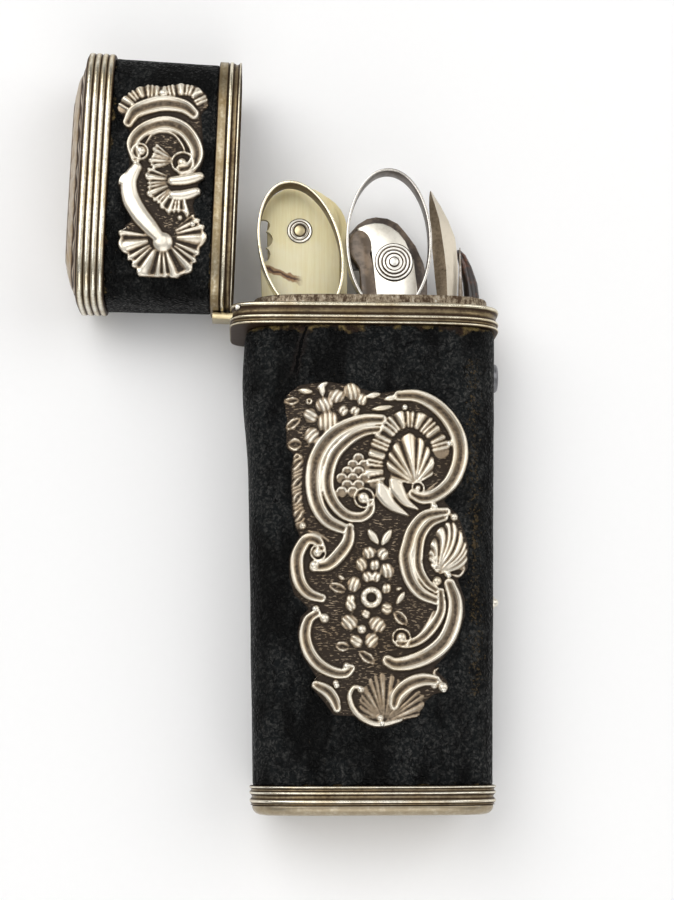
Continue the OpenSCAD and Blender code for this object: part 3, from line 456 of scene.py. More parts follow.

# %% [markdown]
# ### Black skin
# The covering is a grained skin, dyed black and rubbed smooth: pebbles about half a
# millimetre across with soft wrinkles between them. It has lifted below the rim, where brown
# glue shows, and a crack runs down from there. The piece's `edge` number is 1 at its two
# ends and fades within a few millimetres. Its colour also holds painted light: broad patches
# are painted greyer as a sheen, pebble tops and fine grain in them are painted lighter as
# glints, and the narrow creases of the folds are painted dark as shade.

# %% Skin
def black_skin(name, crack=None):
    f = Finish(name, Specular_IOR_Level=0.07)
    drift = f.cloud(0.45, 3)
    bent = f.node("ShaderNodeVectorMath", {"operation": "MULTIPLY_ADD"}, {
        0: f.node("ShaderNodeTexNoise", {}, {"Vector": f.mm, "Scale": 0.8, "Detail": 2.0}, 1),
        1: (1.1, 1.1, 1.1), 2: f.mm})
    pebble = f.cells(1.9, "F1", bent)
    pores = f.cells(2.9, "F1", bent)
    folds = f.cloud(0.42, 2, 0.5, f.stretched(1.6, 0.8, 1.0))
    fine = f.cloud(4.0, 3, 0.6)
    # Painted sheen: broad patches of the skin are painted a shade greyer and bluer, standing in for its
    # gloss.
    sheen_patch = f.cloud(0.13, 3, 0.6, f.stretched(1.3, 0.7, 1.0)).between(0.40, 0.64)
    # Painted shade: the narrow creases of the folds are painted near black.
    crease_shade = f.maths("ABSOLUTE", folds - 0.52).between(0.025, 0.004) * drift.between(0.4, 0.6)
    dark = f.mix(sheen_patch, (0.0003, 0.0004, 0.0004), (0.0052, 0.0064, 0.0068))
    dark = f.mix(crease_shade * 0.9, dark, (0.0003, 0.0003, 0.0003))
    # Painted highlights: the pebble tops and fine grain are painted lighter as glints, mostly within the
    # sheen patches.
    grain = f.cloud(1.9, 3, 0.6, bent).between(0.45, 0.82)
    painted_glints = (grain * 0.8 + pebble.between(0.6, 0.2) * 0.16) * (0.15 + sheen_patch * 0.85) * (1 - crease_shade)
    colour = f.mix(painted_glints, dark, (0.076, 0.074, 0.069))
    worn = (f.marked("edge") + (f.cloud(0.27, 5, 0.65) - 0.5) * 2.4).between(0.6, 0.9)
    glue = f.mix(f.cloud(0.7, 4).between(0.4, 0.7), (0.024, 0.014, 0.009), (0.20, 0.145, 0.055))
    colour = f.mix(worn * 0.9, colour, glue)
    specks = (f.cloud(1.9, 4, 0.75) + f.marked("foxed") * 0.16).between(0.66, 0.76)
    colour = f.mix(specks * 0.6, colour, (0.085, 0.058, 0.026))
    valley = pebble.between(0.16, 0.52)
    rough = 0.10 + valley * 0.4 + drift * 0.16 + sheen_patch * 0.08 + (pores - 0.4) * 0.1 + worn * 0.2
    height = (1 - pebble.between(0.1, 0.7)) * (0.06 + drift * 0.26) + folds * 0.9 + fine * 0.012
    normal = f.bump(height, 1.0, 1.0)
    if crack:
        x, y, _ = f.xyz()
        (x0, y0), (x1, y1) = crack
        along = (y - y0) / (y1 - y0)
        wander = (f.cloud(0.55, 4, 0.6) - 0.5) * 1.9
        away = f.maths("ABSOLUTE", x - x0 - along * (x1 - x0) + wander)
        inside = along.between(-0.03, 0.02) * along.between(1.08, 0.8)
        slit = away.between(0.3, 0.12) * inside
        lip = away.between(1.0, 0.4) * inside
        colour = f.mix(slit, colour, (0.002, 0.002, 0.002))
        colour = f.mix(lip * (1 - slit) * 0.3, colour, (0.03, 0.022, 0.019))
        rough = rough + slit * 0.5
        normal = f.bump(lip * 0.6 - slit, 0.3, 1.0, under=normal)
    return f.done(Base_Color=colour, Roughness=rough, Normal=normal)


CRACK = ((3.5, 13.7), (1.6, 6.2))
case_skin = black_skin("grained_skin", CRACK)
lid_skin = black_skin("grained_skin_lid")
print("the crack is", round(math.dist(*CRACK), 1), "mm long")

# %% [markdown]
# ### Ivory, shell, wood and lining
# The tablets are bone or ivory: pale yellow, with faint straight grain along the leaf and a
# brown crack that dirt has filled. The knife's scales and the small handle are
# tortoiseshell, nearly black with a red-brown glow where they are thin.

# %% Ivory
def ivory(name, middle, crack=None):
    f = Finish(name, Subsurface_Weight=0.12, Subsurface_Scale=0.002, Specular_IOR_Level=0.45)
    f.shader.inputs["Subsurface Radius"].default_value = (1.0, 0.7, 0.35)
    grain = f.cloud(0.9, 4, 0.6, f.stretched(3.2, 0.16, 1.0))
    cloud = f.cloud(0.16, 3)
    colour = f.mix(grain.between(0.3, 0.7), (0.80, 0.69, 0.38), (0.86, 0.775, 0.48))
    colour = f.mix(cloud.between(0.4, 0.75) * 0.5, colour, (0.90, 0.84, 0.64))
    x, y, _ = f.xyz()
    up = (y - middle[1]).at_least(0)
    away = f.maths("SQRT", (x - middle[0]) ** 2 + up ** 2) + (f.cloud(0.5, 3) - 0.5) * 1.6
    colour = f.mix(away.between(3.6, 6.8) * 0.3, colour, (0.40, 0.29, 0.11))
    height = grain
    if crack:
        (x0, y0), (x1, y1) = crack
        along = (x - x0) / (x1 - x0)
        away = f.maths("ABSOLUTE", y - y0 - along * (y1 - y0) + (f.cloud(0.7, 4) - 0.5) * 1.3)
        inside = along.between(-0.05, 0.12) * along.between(1.05, 0.8)
        stain = away.between(0.66, 0.44) * inside
        slit = away.between(0.26, 0.1) * inside
        colour = f.mix(stain * 0.9, colour, (0.30, 0.145, 0.045))
        colour = f.mix(slit, colour, (0.09, 0.035, 0.012))
        height = grain - slit * 3
    rough = 0.36 + grain * 0.14
    return f.done(Base_Color=colour, Roughness=rough, Normal=f.bump(height, 0.03, 0.5))


def tortoiseshell(name, dark, glow, weight):
    """Dark clouds over a red-brown glow."""
    f = Finish(name, Coat_Weight=0.25, Coat_Roughness=0.12, Specular_IOR_Level=0.4)
    clouds = f.cloud(0.32, 3, 0.6)
    colour = f.mix((clouds + (f.cloud(1.4, 3) - 0.5) * 0.3).between(0.62 - weight, 0.85 - weight),
                   dark, glow)
    rough = 0.22 + f.cloud(1.8, 4, 0.7) * 0.2
    return f.done(Base_Color=colour, Roughness=rough,
                  Normal=f.bump(f.cloud(0.9, 4, 0.65, f.stretched(1.6, 0.5, 1)), 0.05, 0.5))


def dry_wood(name, dark, pale, scale=1.0):
    f = Finish(name)
    grain = f.cloud(1.2 * scale, 5, 0.7, f.stretched(4, 0.35, 4))
    colour = f.mix(grain.between(0.3, 0.7), dark, pale)
    return f.done(Base_Color=colour, Roughness=0.55 + grain * 0.3,
                  Normal=f.bump(grain, 0.06, 0.6))


def felt(name):
    f = Finish(name, Sheen_Weight=0.3)
    nap = f.cloud(5.0, 4, 0.75)
    colour = f.mix((nap * 0.5 + f.cloud(0.5, 3) * 0.5).between(0.35, 0.65),
                   (0.03, 0.014, 0.007), (0.12, 0.062, 0.032))
    return f.done(Base_Color=colour, Roughness=0.75 + nap * 0.2, Normal=f.bump(nap, 0.05, 0.7))


front_ivory = ivory("ivory_front", (2.75, 31.6), ((-3.3, 25.1), (3.1, 22.7)))
back_ivory = ivory("ivory_back", (3.95, 31.1))
dark_shell = tortoiseshell("tortoiseshell_scale", (0.05, 0.034, 0.024), (0.16, 0.115, 0.08), 0.2)
lobe_shell = tortoiseshell("tortoiseshell_lobe", (0.12, 0.082, 0.05), (0.27, 0.195, 0.13), 0.2)
handle_shell = tortoiseshell("tortoiseshell_handle", (0.016, 0.009, 0.006), (0.17, 0.056, 0.025), 0.1)
case_wood = dry_wood("case_wood", (0.05, 0.025, 0.012), (0.16, 0.09, 0.045))
block_wood = dry_wood("block_wood", (0.02, 0.011, 0.006), (0.07, 0.04, 0.02))
lid_felt = felt("brown_lining")
print("finishes:", len(bpy.data.materials))

# %% [markdown]
# ## Mounts and covering, swept round the oval
# A reeded band is a strip of rolled silver bent round the case. It is made the same way: a
# circle is extruded ring by ring, the first and last rings are bridged into a closed tube,
# and each ring is then set on the oval at its own height and distance. The profile is a list
# of (distance out, height, reed), so a reed is only a row of points on half a circle.

# %% The sweep
def sweep(name, profile, closed=True, shoulder=False, shape=None):
    """Carries a profile of (out, z, reed) round the oval and returns the standing piece."""
    alone()
    step = 0.001
    bpy.ops.mesh.primitive_circle_add(vertices=AROUND, radius=0.02, location=(0, 0, 0))
    piece = bpy.context.object
    piece.name = piece.data.name = name
    bpy.ops.object.mode_set(mode="EDIT")
    bpy.ops.mesh.select_all(action="SELECT")
    for _ in profile[1:]:
        bpy.ops.mesh.extrude_region_move(TRANSFORM_OT_translate={"value": (0, 0, step)})
    bpy.ops.mesh.select_all(action="DESELECT")
    bpy.ops.mesh.select_mode(type="EDGE")
    bpy.ops.mesh.select_non_manifold()
    if closed:
        bpy.ops.mesh.bridge_edge_loops()
    else:
        bpy.ops.mesh.edge_face_add()
    bpy.ops.mesh.select_mode(type="VERT")
    bpy.ops.object.mode_set(mode="OBJECT")
    co = places(piece)
    level = np.rint(co[:, 2] / step).astype(int)
    spot = np.rint(np.arctan2(co[:, 1], co[:, 0]) / (2 * np.pi) * AROUND).astype(int) % AROUND
    for j, (out, z, *_) in enumerate(profile):
        x, y = oval(z, out, shoulder and out > 0.02)
        ring = np.stack([x, y, np.full(AROUND, float(z))], 1)
        if shape:
            ring = shape(ring, j)
        at = level == j
        co[at] = ring[spot[at]]
    put(piece, co)
    reed = np.array([p[2] if len(p) > 2 else 1.0 for p in profile])
    mark(piece, "reed", reed[level])
    return piece


def reeds(z0, z1, count, out, groove=0.3, points=9):
    """Rounded reeds one above the other, from z0 to z1."""
    rows = []
    pitch = (z1 - z0) / count
    for k in range(count):
        for a in np.linspace(-80, 80, points):
            rise = math.cos(math.radians(a))
            rows.append((out - groove * (1 - rise) ** 0.9,
                         z0 + pitch * (k + 0.5 + 0.5 * math.sin(math.radians(a))), rise))
    return rows


def moulding(z, parts, out):
    """Drawn strip with fine beads, hollows and flats, listed upwards as (kind, height)."""
    rows = []
    for kind, tall, *deep in parts:
        if kind == "bead":
            for a in range(-75, 76, 25):
                c, s = math.cos(math.radians(a)), math.sin(math.radians(a))
                rows.append((out - (1 - c) * tall * 0.5, z + tall * (0.5 + 0.5 * s), 0.45 + 0.55 * c))
        elif kind == "hollow":
            for t in np.linspace(0.06, 0.94, 8):
                c = math.sin(math.pi * t)
                rows.append((out - 0.14 - deep[0] * c, z + tall * t, 0.34 + 0.34 * c))
        else:
            rows += [(out - 0.1, z + tall * t, r) for t, r in ((0.04, 0.5), (0.1, 0.76), (0.5, 0.82),
                                                               (0.9, 0.76), (0.96, 0.5))]
        z += tall
    return rows


def cutter(kind, centre, size, turn=(0, 0, 0)):
    """A plain block or rod, in the standing case's mm, that is only used to cut."""
    alone()
    if kind == "block":
        bpy.ops.mesh.primitive_cube_add(size=1, location=centre)
        bpy.context.object.scale = size
    else:
        bpy.ops.mesh.primitive_cylinder_add(vertices=64, radius=size[0], depth=size[1],
                                            location=centre, rotation=turn)
    bpy.ops.object.transform_apply(location=True, rotation=True, scale=True)
    return bpy.context.object


def cut(piece, *tools):
    for tool in tools:
        only(piece)
        saw = piece.modifiers.new("saw", "BOOLEAN")
        saw.operation, saw.solver, saw.object = "DIFFERENCE", "EXACT", tool
        bpy.ops.object.modifier_apply(modifier="saw")
        bpy.data.objects.remove(tool)


ALONG_Y, ALONG_X = (math.pi / 2, 0, 0), (0, math.pi / 2, 0)
print("a band has", AROUND, "points round it")

# %% [markdown]
# ## The body's covering
# The skin is glued on and is never quite flat: it swells and sinks by a few hundredths of a
# millimetre, and its ends are drawn in under the mounts. Two holes let the catch's button
# and the spring's rivet through.

# %% Body skin
def uneven(x, y, z, size=0.06):
    """A soft swell of the covering, in mm."""
    low = noise.noise(Vector((x * 0.11, y * 0.2, z * 0.11)))
    high = noise.noise(Vector((x * 0.42 + 7, y * 0.42, z * 0.42)))
    return size * low + size * 0.45 * high


def skin_shape(lowest, highest):
    def shape(ring, j):
        swell = np.array([uneven(*p) for p in ring])
        fade = np.clip(np.minimum(ring[:, 2] - lowest, highest - ring[:, 2]) / 1.2, 0, 1)
        lift = (swell - 0.02) * fade
        if highest < SEAM:
            lift += (0.62 * np.exp(-((ring[:, 2] - 63.0) / 7.5) ** 2)
                     * np.clip(-ring[:, 0] / 17, 0, 1) ** 4 * fade)
        ring[:, 0] += lift * np.sign(ring[:, 0]) * (np.abs(ring[:, 0]) / 18) ** 3
        ring[:, 1] += lift * np.sign(ring[:, 1]) * np.minimum(1, np.abs(ring[:, 1]) / 7)
        return ring
    return shape


def covering(name, z0, z1, rows, lifted=0.0):
    outer = [(-0.16, z0, 0), (-0.05, z0 + 0.12, 0)]
    outer += [(0.0, z, 0) for z in np.linspace(z0 + 0.35, z1 - 0.35, rows)]
    outer += [(-0.05, z1 - 0.12, 0), (-0.16, z1, 0)]
    inner = [(-SKIN_T, z1, 0), (-SKIN_T, z0, 0)]
    piece = sweep(name, outer + inner, shape=skin_shape(z0, z1))
    height = places(piece)[:, 2]
    ends = np.minimum((height - z0) * 4 + 1.2, (z1 - height) * 1.4 + 1.4 - lifted)
    mark(piece, "edge", np.clip(1 - ends / 3.2, 0, 1))
    away = np.abs(places(piece)[:, 0] - 14.8)
    mark(piece, "foxed", np.clip(1 - away / 2.2, 0, 1) * (np.abs(height - 42) < 25))
    return piece


BUTTON_Z, BUTTON_R, RIVET_Z = SEAM - 9.8, 2.2, SEAM - 44
cover = covering("body_covering", PLATE_H + BASE_BAND_H + 0.03, SEAM - RIM_H - 0.03, 70, 1.4)
cut(cover, cutter("rod", (18.5, 0, BUTTON_Z), (BUTTON_R + 0.5, 6), ALONG_X),
    cutter("rod", (18, 0, RIVET_Z), (0.53, 6), ALONG_X))
smooth(lay(cover), 60)
finish_piece(cover, "case", case_skin, "body_skin")

# %% [markdown]
# ## The base and the rim of the body
# The base has a plain plate with a rolled edge and a band of three reeds. The rim has two
# reeds, and on the hinge side it swells into a squared shoulder. The seat of the lid's leaf,
# the hinge tubes and the pin are cut out of the shoulder as in the frame.

# %% Base
plate = sweep("foot_plate", [(0.02, PLATE_H, 0.2), (0.10, PLATE_H - 0.02, 0.7), (0.12, 1.25, 1),
                             (0.08, 1.0, 1), (-0.02, 0.75, 1), (-0.2, 0.5, 1), (-0.45, 0.3, 1),
                             (-0.8, 0.14, 0.9), (-1.4, 0.04, 0.85), (-2.2, 0.0, 0.8),
                             (-4.5, 0.0, 0.7), (-7.0, 0.0, 0.6)], closed=False)
tidy(plate, 1e-6)
smooth(lay(plate), 50)
print("foot plate:", len(plate.data.polygons), "faces")

# %% Reeded bands
base_low, base_high = PLATE_H + 0.03, PLATE_H + BASE_BAND_H
base = sweep("base_reeds", [(-SKIN_T, base_low, 0), (0.05, base_low, 0)]
             + moulding(base_low + 0.04, [("hollow", 0.34, 0.16), ("bead", 0.5), ("hollow", 0.74, 0.24),
                                          ("bead", 0.38), ("hollow", 0.48, 0.16), ("bead", 0.3)],
                        REED_OUT - 0.1)
             + [(0.1, base_high, 0.2), (-SKIN_T, base_high, 0)])
tidy(base, 1e-6)
smooth(lay(base), 70)

rim_base = SEAM - RIM_H
rim = sweep("body_rim_reeds",
            [(-SKIN_T, rim_base, 0), (0.16, rim_base, 0.3)]
            + moulding(rim_base + 0.03, [("bead", 0.36), ("hollow", 0.56, 0.18), ("bead", 0.42),
                                         ("hollow", 1.3, 0.3), ("bead", 0.66)], REED_OUT)
            + [(0.1, SEAM - 0.03, 0.4), (-0.2, SEAM, 0.3), (-SKIN_T, SEAM, 0.5)], shoulder=True)
tidy(rim, 1e-6)
cut(rim, cutter("block", (HINGE_X - 1.175, 0, HINGE_Z - 0.58 + 2), (3.65, 10.6, 4)),
    cutter("rod", (HINGE_X, 0, HINGE_Z), (0.86, 10.6), ALONG_Y),
    cutter("rod", (HINGE_X, 0, HINGE_Z), (0.40, 20), ALONG_Y),
    cutter("block", (half_w(SEAM) - 1.2, 0, SEAM - 1.7), (1.6, 3.2, 5.4)))
smooth(lay(rim), 55)

neck = sweep("collar_strip", [
    (-COLLAR_IN - COLLAR_T, SEAM - COLLAR_DOWN + 0.03, 1), (-COLLAR_IN, SEAM - COLLAR_DOWN + 0.03, 1),
    (-COLLAR_IN, SEAM - 0.5, 1), (-COLLAR_IN, SEAM + COLLAR_UP - 0.3, 1),
    (-COLLAR_IN - 0.04, SEAM + COLLAR_UP - 0.1, 1), (-COLLAR_IN - 0.12, SEAM + COLLAR_UP, 1),
    (-COLLAR_IN - COLLAR_T + 0.08, SEAM + COLLAR_UP, 1),
    (-COLLAR_IN - COLLAR_T, SEAM + COLLAR_UP - 0.1, 1)])
tidy(neck, 1e-6)
cut(neck, cutter("block", (half_w(SEAM) - 2, 0, SEAM - 2), (4, 3.4, 9)))
smooth(lay(neck), 50)

finish_piece(plate, "case", foot_silver, "base_plate")
finish_piece(base, "case", mount_silver, "base_band")
finish_piece(rim, "case", rim_silver, "body_rim")
finish_piece(neck, "case", collar_silver, "collar")

# %% [markdown]
# ## The lid
# The lid has the same covering, a rim of two reeds round its mouth, and four reeds at its
# upper end that hold a stepped silver top. The top is embossed with a ring of flutes round
# a plain oval field, and all of it is swung open with the lid.

# %% Lid covering and bands
lid_low, lid_high = SEAM + LID_RIM_H, CAP_TOP - CAP_BAND_H
lid_cover = covering("lid_covering", lid_low + 0.03, lid_high - 0.03, 26)
smooth(lay(lid_cover, True), 60)
mouth_base = SEAM + 0.15
mouth = sweep("lid_rim_reeds",
              [(-0.75, mouth_base, 0.6), (0.22, mouth_base, 0.5)]
              + moulding(mouth_base + 0.02, [("bead", 0.24), ("hollow", 0.86, 0.22), ("bead", 0.68),
                                             ("hollow", 0.14, 0.2), ("flat", 1.36)], REED_OUT)
              + [(0.14, lid_low, 0.3), (-SKIN_T, lid_low, 0.3), (-SKIN_T, SEAM + 2.2, 0.3),
                 (-0.75, SEAM + 2.2, 0.4)])
tidy(mouth, 1e-6)
cut(mouth, cutter("block", (half_w(SEAM) - 0.725, 0, SEAM + 0.85), (1.55, 3.2, 0.9)))
smooth(lay(mouth, True), 55)
cap = sweep("cap_reeds", [(-SKIN_T, lid_high, 0), (REED_OUT - 0.36, lid_high, 0)]
            + reeds(lid_high + 0.04, CAP_TOP - 0.04, 4, REED_OUT)
            + [(0.1, CAP_TOP, 0.3), (-SKIN_T, CAP_TOP, 0)])
tidy(cap, 1e-6)
smooth(lay(cap, True), 70)

# %% The embossed top
DOME_ROWS = [(0.1, 0.03, 0.2), (0.06, 0.12, 0.6), (-0.25, 0.25, 0.9), (-0.75, 0.36, 0.7),
             (-1.0, 0.42, 0.1), (-1.2, 0.50, 0.2), (-1.5, 0.66, 1.0), (-1.9, 0.78, 1.0),
             (-2.15, 0.84, 0.2), (-2.35, 0.95, 0.3), (-2.6, 1.15, 0.9), (-3.0, 1.36, 1.0),
             (-3.6, 1.58, 1.0), (-4.2, 1.74, 1.0), (-4.8, 1.90, 1.0), (-5.3, 2.05, 1.0),
             (-5.7, 2.12, 0.6), (-6.0, 2.14, 0.1), (-6.3, 2.22, 0.6), (-6.7, 2.34, 1.0),
             (-7.1, 2.39, 1.0), (-7.4, 2.40, 1.0)]
FLUTES = 22


def fluted(ring, j):
    """Flutes between the step and the middle field, deepest half way, and a wavy step."""
    out, rise, _ = DOME_ROWS[j]
    deep = max(0.0, 1 - abs(out + 4.0) / 1.9)
    turn = np.arange(AROUND) / AROUND * FLUTES * 2 * math.pi
    ring[:, 2] -= 0.34 * deep * (1 - np.abs(np.cos(turn / 2)))
    wave = max(0.0, 1 - abs(out + 1.9) / 1.2)
    ring[:, 2] -= 0.12 * wave * (1 + np.cos(turn))
    return ring


top = sweep("embossed_top", [(out, CAP_TOP + rise, reed) for out, rise, reed in DOME_ROWS],
            closed=False, shape=fluted)
tidy(top, 1e-6)
smooth(lay(top, True), 60)
for piece, finish, node in ((lid_cover, lid_skin, "lid_skin"), (mouth, rim_silver, "lid_rim"),
                            (cap, mount_silver, "lid_cap_band"), (top, top_silver, "lid_dome")):
    finish_piece(piece, "lid", finish, node)

# %% [markdown]
# ## The embossed plaques
# Each plaque was one thin sheet, hammered from behind over a pitch bed and then chased from
# the front. A chaser works stroke by stroke, and so does this: a flat grid stands for the
# sheet, and every scroll, leaf, berry and shell raises its points by a height. The lists are
# the strokes, as (x, z) places on the standing case in mm, read off the photograph.

# %% A sheet that remembers its height
GROUND, BELOW, HIGHEST = 0.17, -0.55, 0.88


def walk(points, step=0.12):
    """A smooth curve through given points, as points one step apart."""
    p = np.array([points[0], *points, points[-1]], float)
    t = np.linspace(0, 1, 24, endpoint=False)[:, None]
    parts = []
    for a, b, c, d in zip(p[:-3], p[1:-2], p[2:-1], p[3:]):
        parts.append(0.5 * (2 * b + (c - a) * t + (2 * a - 5 * b + 4 * c - d) * t ** 2
                            + (3 * b - a - 3 * c + d) * t ** 3))
    line = np.concatenate(parts + [p[-1:]])
    far = np.concatenate([[0], np.cumsum(np.hypot(*np.diff(line, axis=0).T))])
    steps = np.linspace(0, far[-1], max(3, int(far[-1] / step)))
    return np.stack([np.interp(steps, far, line[:, k]) for k in (0, 1)], 1), far[-1]


def dome(d, r):
    return np.sqrt(np.clip(1 - (d / r) ** 2, 0, 1))


class Sheet:
    """The grid's places and the height that the strokes have given each so far."""

    def __init__(self, x, z):
        self.x, self.z = x, z
        self.h = np.full(x.shape, BELOW)

    def within(self, low, high):
        inside = (self.x > low[0]) & (self.x < high[0]) & (self.z > low[1]) & (self.z < high[1])
        return np.nonzero(inside)[0]

    def by(self, points, reach):
        """Points near a curve: which, how far off, on which side, and how far along."""
        line, length = walk(points)
        pick = self.within(line.min(0) - reach, line.max(0) + reach)
        dx = self.x[pick, None] - line[:, 0]
        dz = self.z[pick, None] - line[:, 1]
        near = (dx * dx + dz * dz).argmin(1)
        rows = np.arange(len(pick))
        dx, dz = dx[rows, near], dz[rows, near]
        ahead = np.gradient(line, axis=0)[near]
        side = np.sign(ahead[:, 0] * dz - ahead[:, 1] * dx)
        return pick, np.hypot(dx, dz), side, near / (len(line) - 1), length

    def round_of(self, x, z, reach):
        pick = self.within((x - reach, z - reach), (x + reach, z + reach))
        dx, dz = self.x[pick] - x, self.z[pick] - z
        return pick, np.hypot(dx, dz), np.arctan2(dz, dx), dx, dz

    def raise_to(self, pick, h):
        self.h[pick] = np.maximum(self.h[pick], np.minimum(h, HIGHEST))

    def ground(self, outline, level=GROUND):
        """The plain sheet inside an outline, which dips below the skin at its edge."""
        p = np.array(outline, float)
        q = np.roll(p, -1, 0)
        best = np.full(self.x.shape, 9.0)
        inside = np.zeros(self.x.shape, bool)
        for a, b in zip(p, q):
            d = b - a
            t = np.clip(((self.x - a[0]) * d[0] + (self.z - a[1]) * d[1]) / (d @ d), 0, 1)
            best = np.minimum(best, np.hypot(self.x - a[0] - t * d[0], self.z - a[1] - t * d[1]))
            cross = (a[1] > self.z) != (b[1] > self.z)
            if d[1]:
                inside ^= cross & (self.x < a[0] + (self.z - a[1]) / d[1] * d[0])
        depth = np.where(inside, best, -best)
        ease = np.clip((depth + 0.45) / 0.95, 0, 1)
        self.h = np.maximum(self.h, BELOW + (level - BELOW) * ease * ease * (3 - 2 * ease))


print("a plaque's sheet may rise", HIGHEST, "mm from the skin")

# %% [markdown]
# A C-scroll is a channel: two raised rims and a hollow between them, widest in its middle. A
# ruffle is a row of ribs across a curve. A fan's ribs spread from a point. A berry is a small
# dome with a few scratches, and a leaf is a pointed lens with a vein.

# %% The chaser's strokes
def ease(t):
    t = np.clip(t, 0, 1)
    return t * t * (3 - 2 * t)


def channel(sheet, width, points, tall=0.86, bed=0.385):
    """A hollow between two lips. It cuts into what lies under it and falls off outside."""
    pick, d, side, s, _ = sheet.by(points, width)
    t = d / (width * 0.575 * (0.6 + 0.4 * np.sin(np.pi * np.clip(s, 0.02, 0.98)) ** 0.6))
    crest = tall * np.where(side > 0, 1.0, 0.88)
    lip = np.where(side > 0, 0.70, 0.78)
    hollow = t < lip
    sheet.h[pick[hollow]] = (bed + (crest - bed) * ease((t - 0.16) / (lip - 0.16)))[hollow]
    fall = crest * np.sqrt(np.clip(1 - ((t - lip) / (1 - lip)) ** 2, 0, 1))
    sheet.raise_to(pick, np.where((t >= lip) & (t < 1), fall, BELOW))


def ridge(sheet, width, tall, points, end=0.5):
    pick, d, _, s, _ = sheet.by(points, width)
    half = width / 2 * (end + (1 - end) * np.sin(np.pi * np.clip(s, 0.02, 0.98)) ** 0.5)
    sheet.raise_to(pick, np.where(d < half, 0.15 + tall * dome(d, half), BELOW))


def claw(sheet, width, points, tall=0.75):
    """A horn that is round at its root and runs out to a point."""
    pick, d, _, s, _ = sheet.by(points, width)
    half = width / 2 * np.minimum(1, 0.5 + s * 3) * np.clip(1.02 - s, 0, 1) ** 0.7
    sheet.raise_to(pick, np.where(d < half, 0.2 + tall * dome(d, half), BELOW))


def uneven(count, by=0.3):
    """Ribs are counted along by hand: some come out wider than others."""
    return count + by * np.sin(count * 1.9 + 0.5)


def ruffle(sheet, width, pitch, points, slant=0.0, tall=0.42):
    pick, d, side, s, length = sheet.by(points, width)
    count = s * length / pitch
    rib = np.abs(np.sin(np.pi * (uneven(count) + slant * side * d)))
    half = width / 2 * (0.80 + 0.16 * rib + 0.05 * np.sin(count * 1.3))
    body = 0.22 + (tall + 0.08) * (0.1 + 0.9 * rib ** 1.5) * (0.6 + 0.4 * dome(d, half))
    sheet.raise_to(pick, np.where(d < half, body, BELOW))


def shell(sheet, hub, edge, ribs, tall=0.5, curl=0.0):
    """Ribs that spread from a hub to an edge of given points, bent sideways by curl."""
    e = np.array(edge, float) - hub
    turn = np.unwrap(np.arctan2(e[:, 1], e[:, 0]))
    far = np.hypot(e[:, 0], e[:, 1])
    order = np.argsort(turn)
    turn, far = turn[order], far[order]
    pick, d, a, _, _ = sheet.round_of(*hub, far.max() + 0.5)
    a = np.where(a < turn[0] - 0.5, a + 2 * np.pi, a)
    a = np.where(a > turn[-1] + 0.5, a - 2 * np.pi, a)
    reach = np.interp(a, turn, far)
    v = d / reach
    u = (a - turn[0]) / (turn[-1] - turn[0])
    rib = np.abs(np.sin(np.pi * uneven((u + curl * v * (1 - v)) * ribs, 0.2)))
    keep = (u > 0) & (u < 1) & (v < 0.94 + 0.06 * rib) & (d > 0.25)
    body = 0.2 + (tall + 0.12) * (0.1 + 0.9 * rib) * (0.6 + 0.4 * np.sin(np.pi * v ** 0.9))
    sheet.raise_to(pick, np.where(keep, body, BELOW))


def fan(sheet, x, z, r0, r1, a0, a1, ribs, tall=0.46):
    pick, d, turn, _, _ = sheet.round_of(x, z, r1 + 0.6)
    a = np.degrees(turn)
    a = np.where(a < a0 - 25, a + 360, a)
    u = (a - a0) / (a1 - a0)
    rib = np.abs(np.sin(np.pi * uneven(u * ribs)))
    rim = r1 * (0.90 + 0.07 * rib + 0.045 * np.sin(u * ribs * 1.7))
    v = (d - r0) / (rim - r0)
    keep = (u > 0) & (u < 1) & (v > 0) & (v < 1)
    lip = np.exp(-((v - 0.92) / 0.07) ** 2) * 0.3 * (1 - 0.5 * rib)
    body = (0.2 + (tall + 0.1) * (0.08 + 0.92 * rib ** 1.6)
            * (0.6 + 0.4 * np.sin(np.pi * np.clip(v, 0, 1) ** 1.3)) + lip)
    sheet.raise_to(pick, np.where(keep, body, BELOW))


def bead(sheet, x, z, r):
    pick, d, *_ = sheet.round_of(x, z, r)
    sheet.raise_to(pick, np.where(d < r, 0.2 + min(0.72, r * 1.1) * dome(d, r), BELOW))


def berry(sheet, x, z, r, angle):
    """A petal or berry with fine ribs that run across it."""
    pick, d, turn, dx, dz = sheet.round_of(x, z, r * 1.1)
    a = math.radians(angle)
    across = dx * math.cos(a) + dz * math.sin(a)
    edge = r * (1.06 + 0.07 * np.sin(2 * turn + angle))
    gap = ((across / 0.72 + 0.5) % 1 - 0.5) * 0.72
    top = 0.2 + (0.54 - 0.32 * np.exp(-(gap / 0.15) ** 2)) * dome(d, edge)
    sheet.raise_to(pick, np.where(d < edge, top, BELOW))


def leaf(sheet, x0, z0, x1, z1, width, hollow):
    length = math.hypot(x1 - x0, z1 - z0)
    mid = ((x0 + x1) / 2, (z0 + z1) / 2)
    pick, _, _, dx, dz = sheet.round_of(*mid, length * 0.6 + 0.3)
    cx, cz = (x1 - x0) / length, (z1 - z0) / length
    along = (dx * cx + dz * cz) / length + 0.5
    off = np.abs(dx * -cz + dz * cx)
    half = width / 2 * np.sin(np.pi * np.clip(along, 0, 1)) ** 0.75 + 1e-6
    keep = (along > 0) & (along < 1) & (off < half)
    full = 0.24 + 0.55 * dome(off, half) - 0.16 * np.exp(-(off / 0.09) ** 2)
    cupped = 0.26 + 0.46 * np.clip((off / half) ** 2, 0, 1)
    sheet.raise_to(pick, np.where(keep, cupped if hollow else full, BELOW))


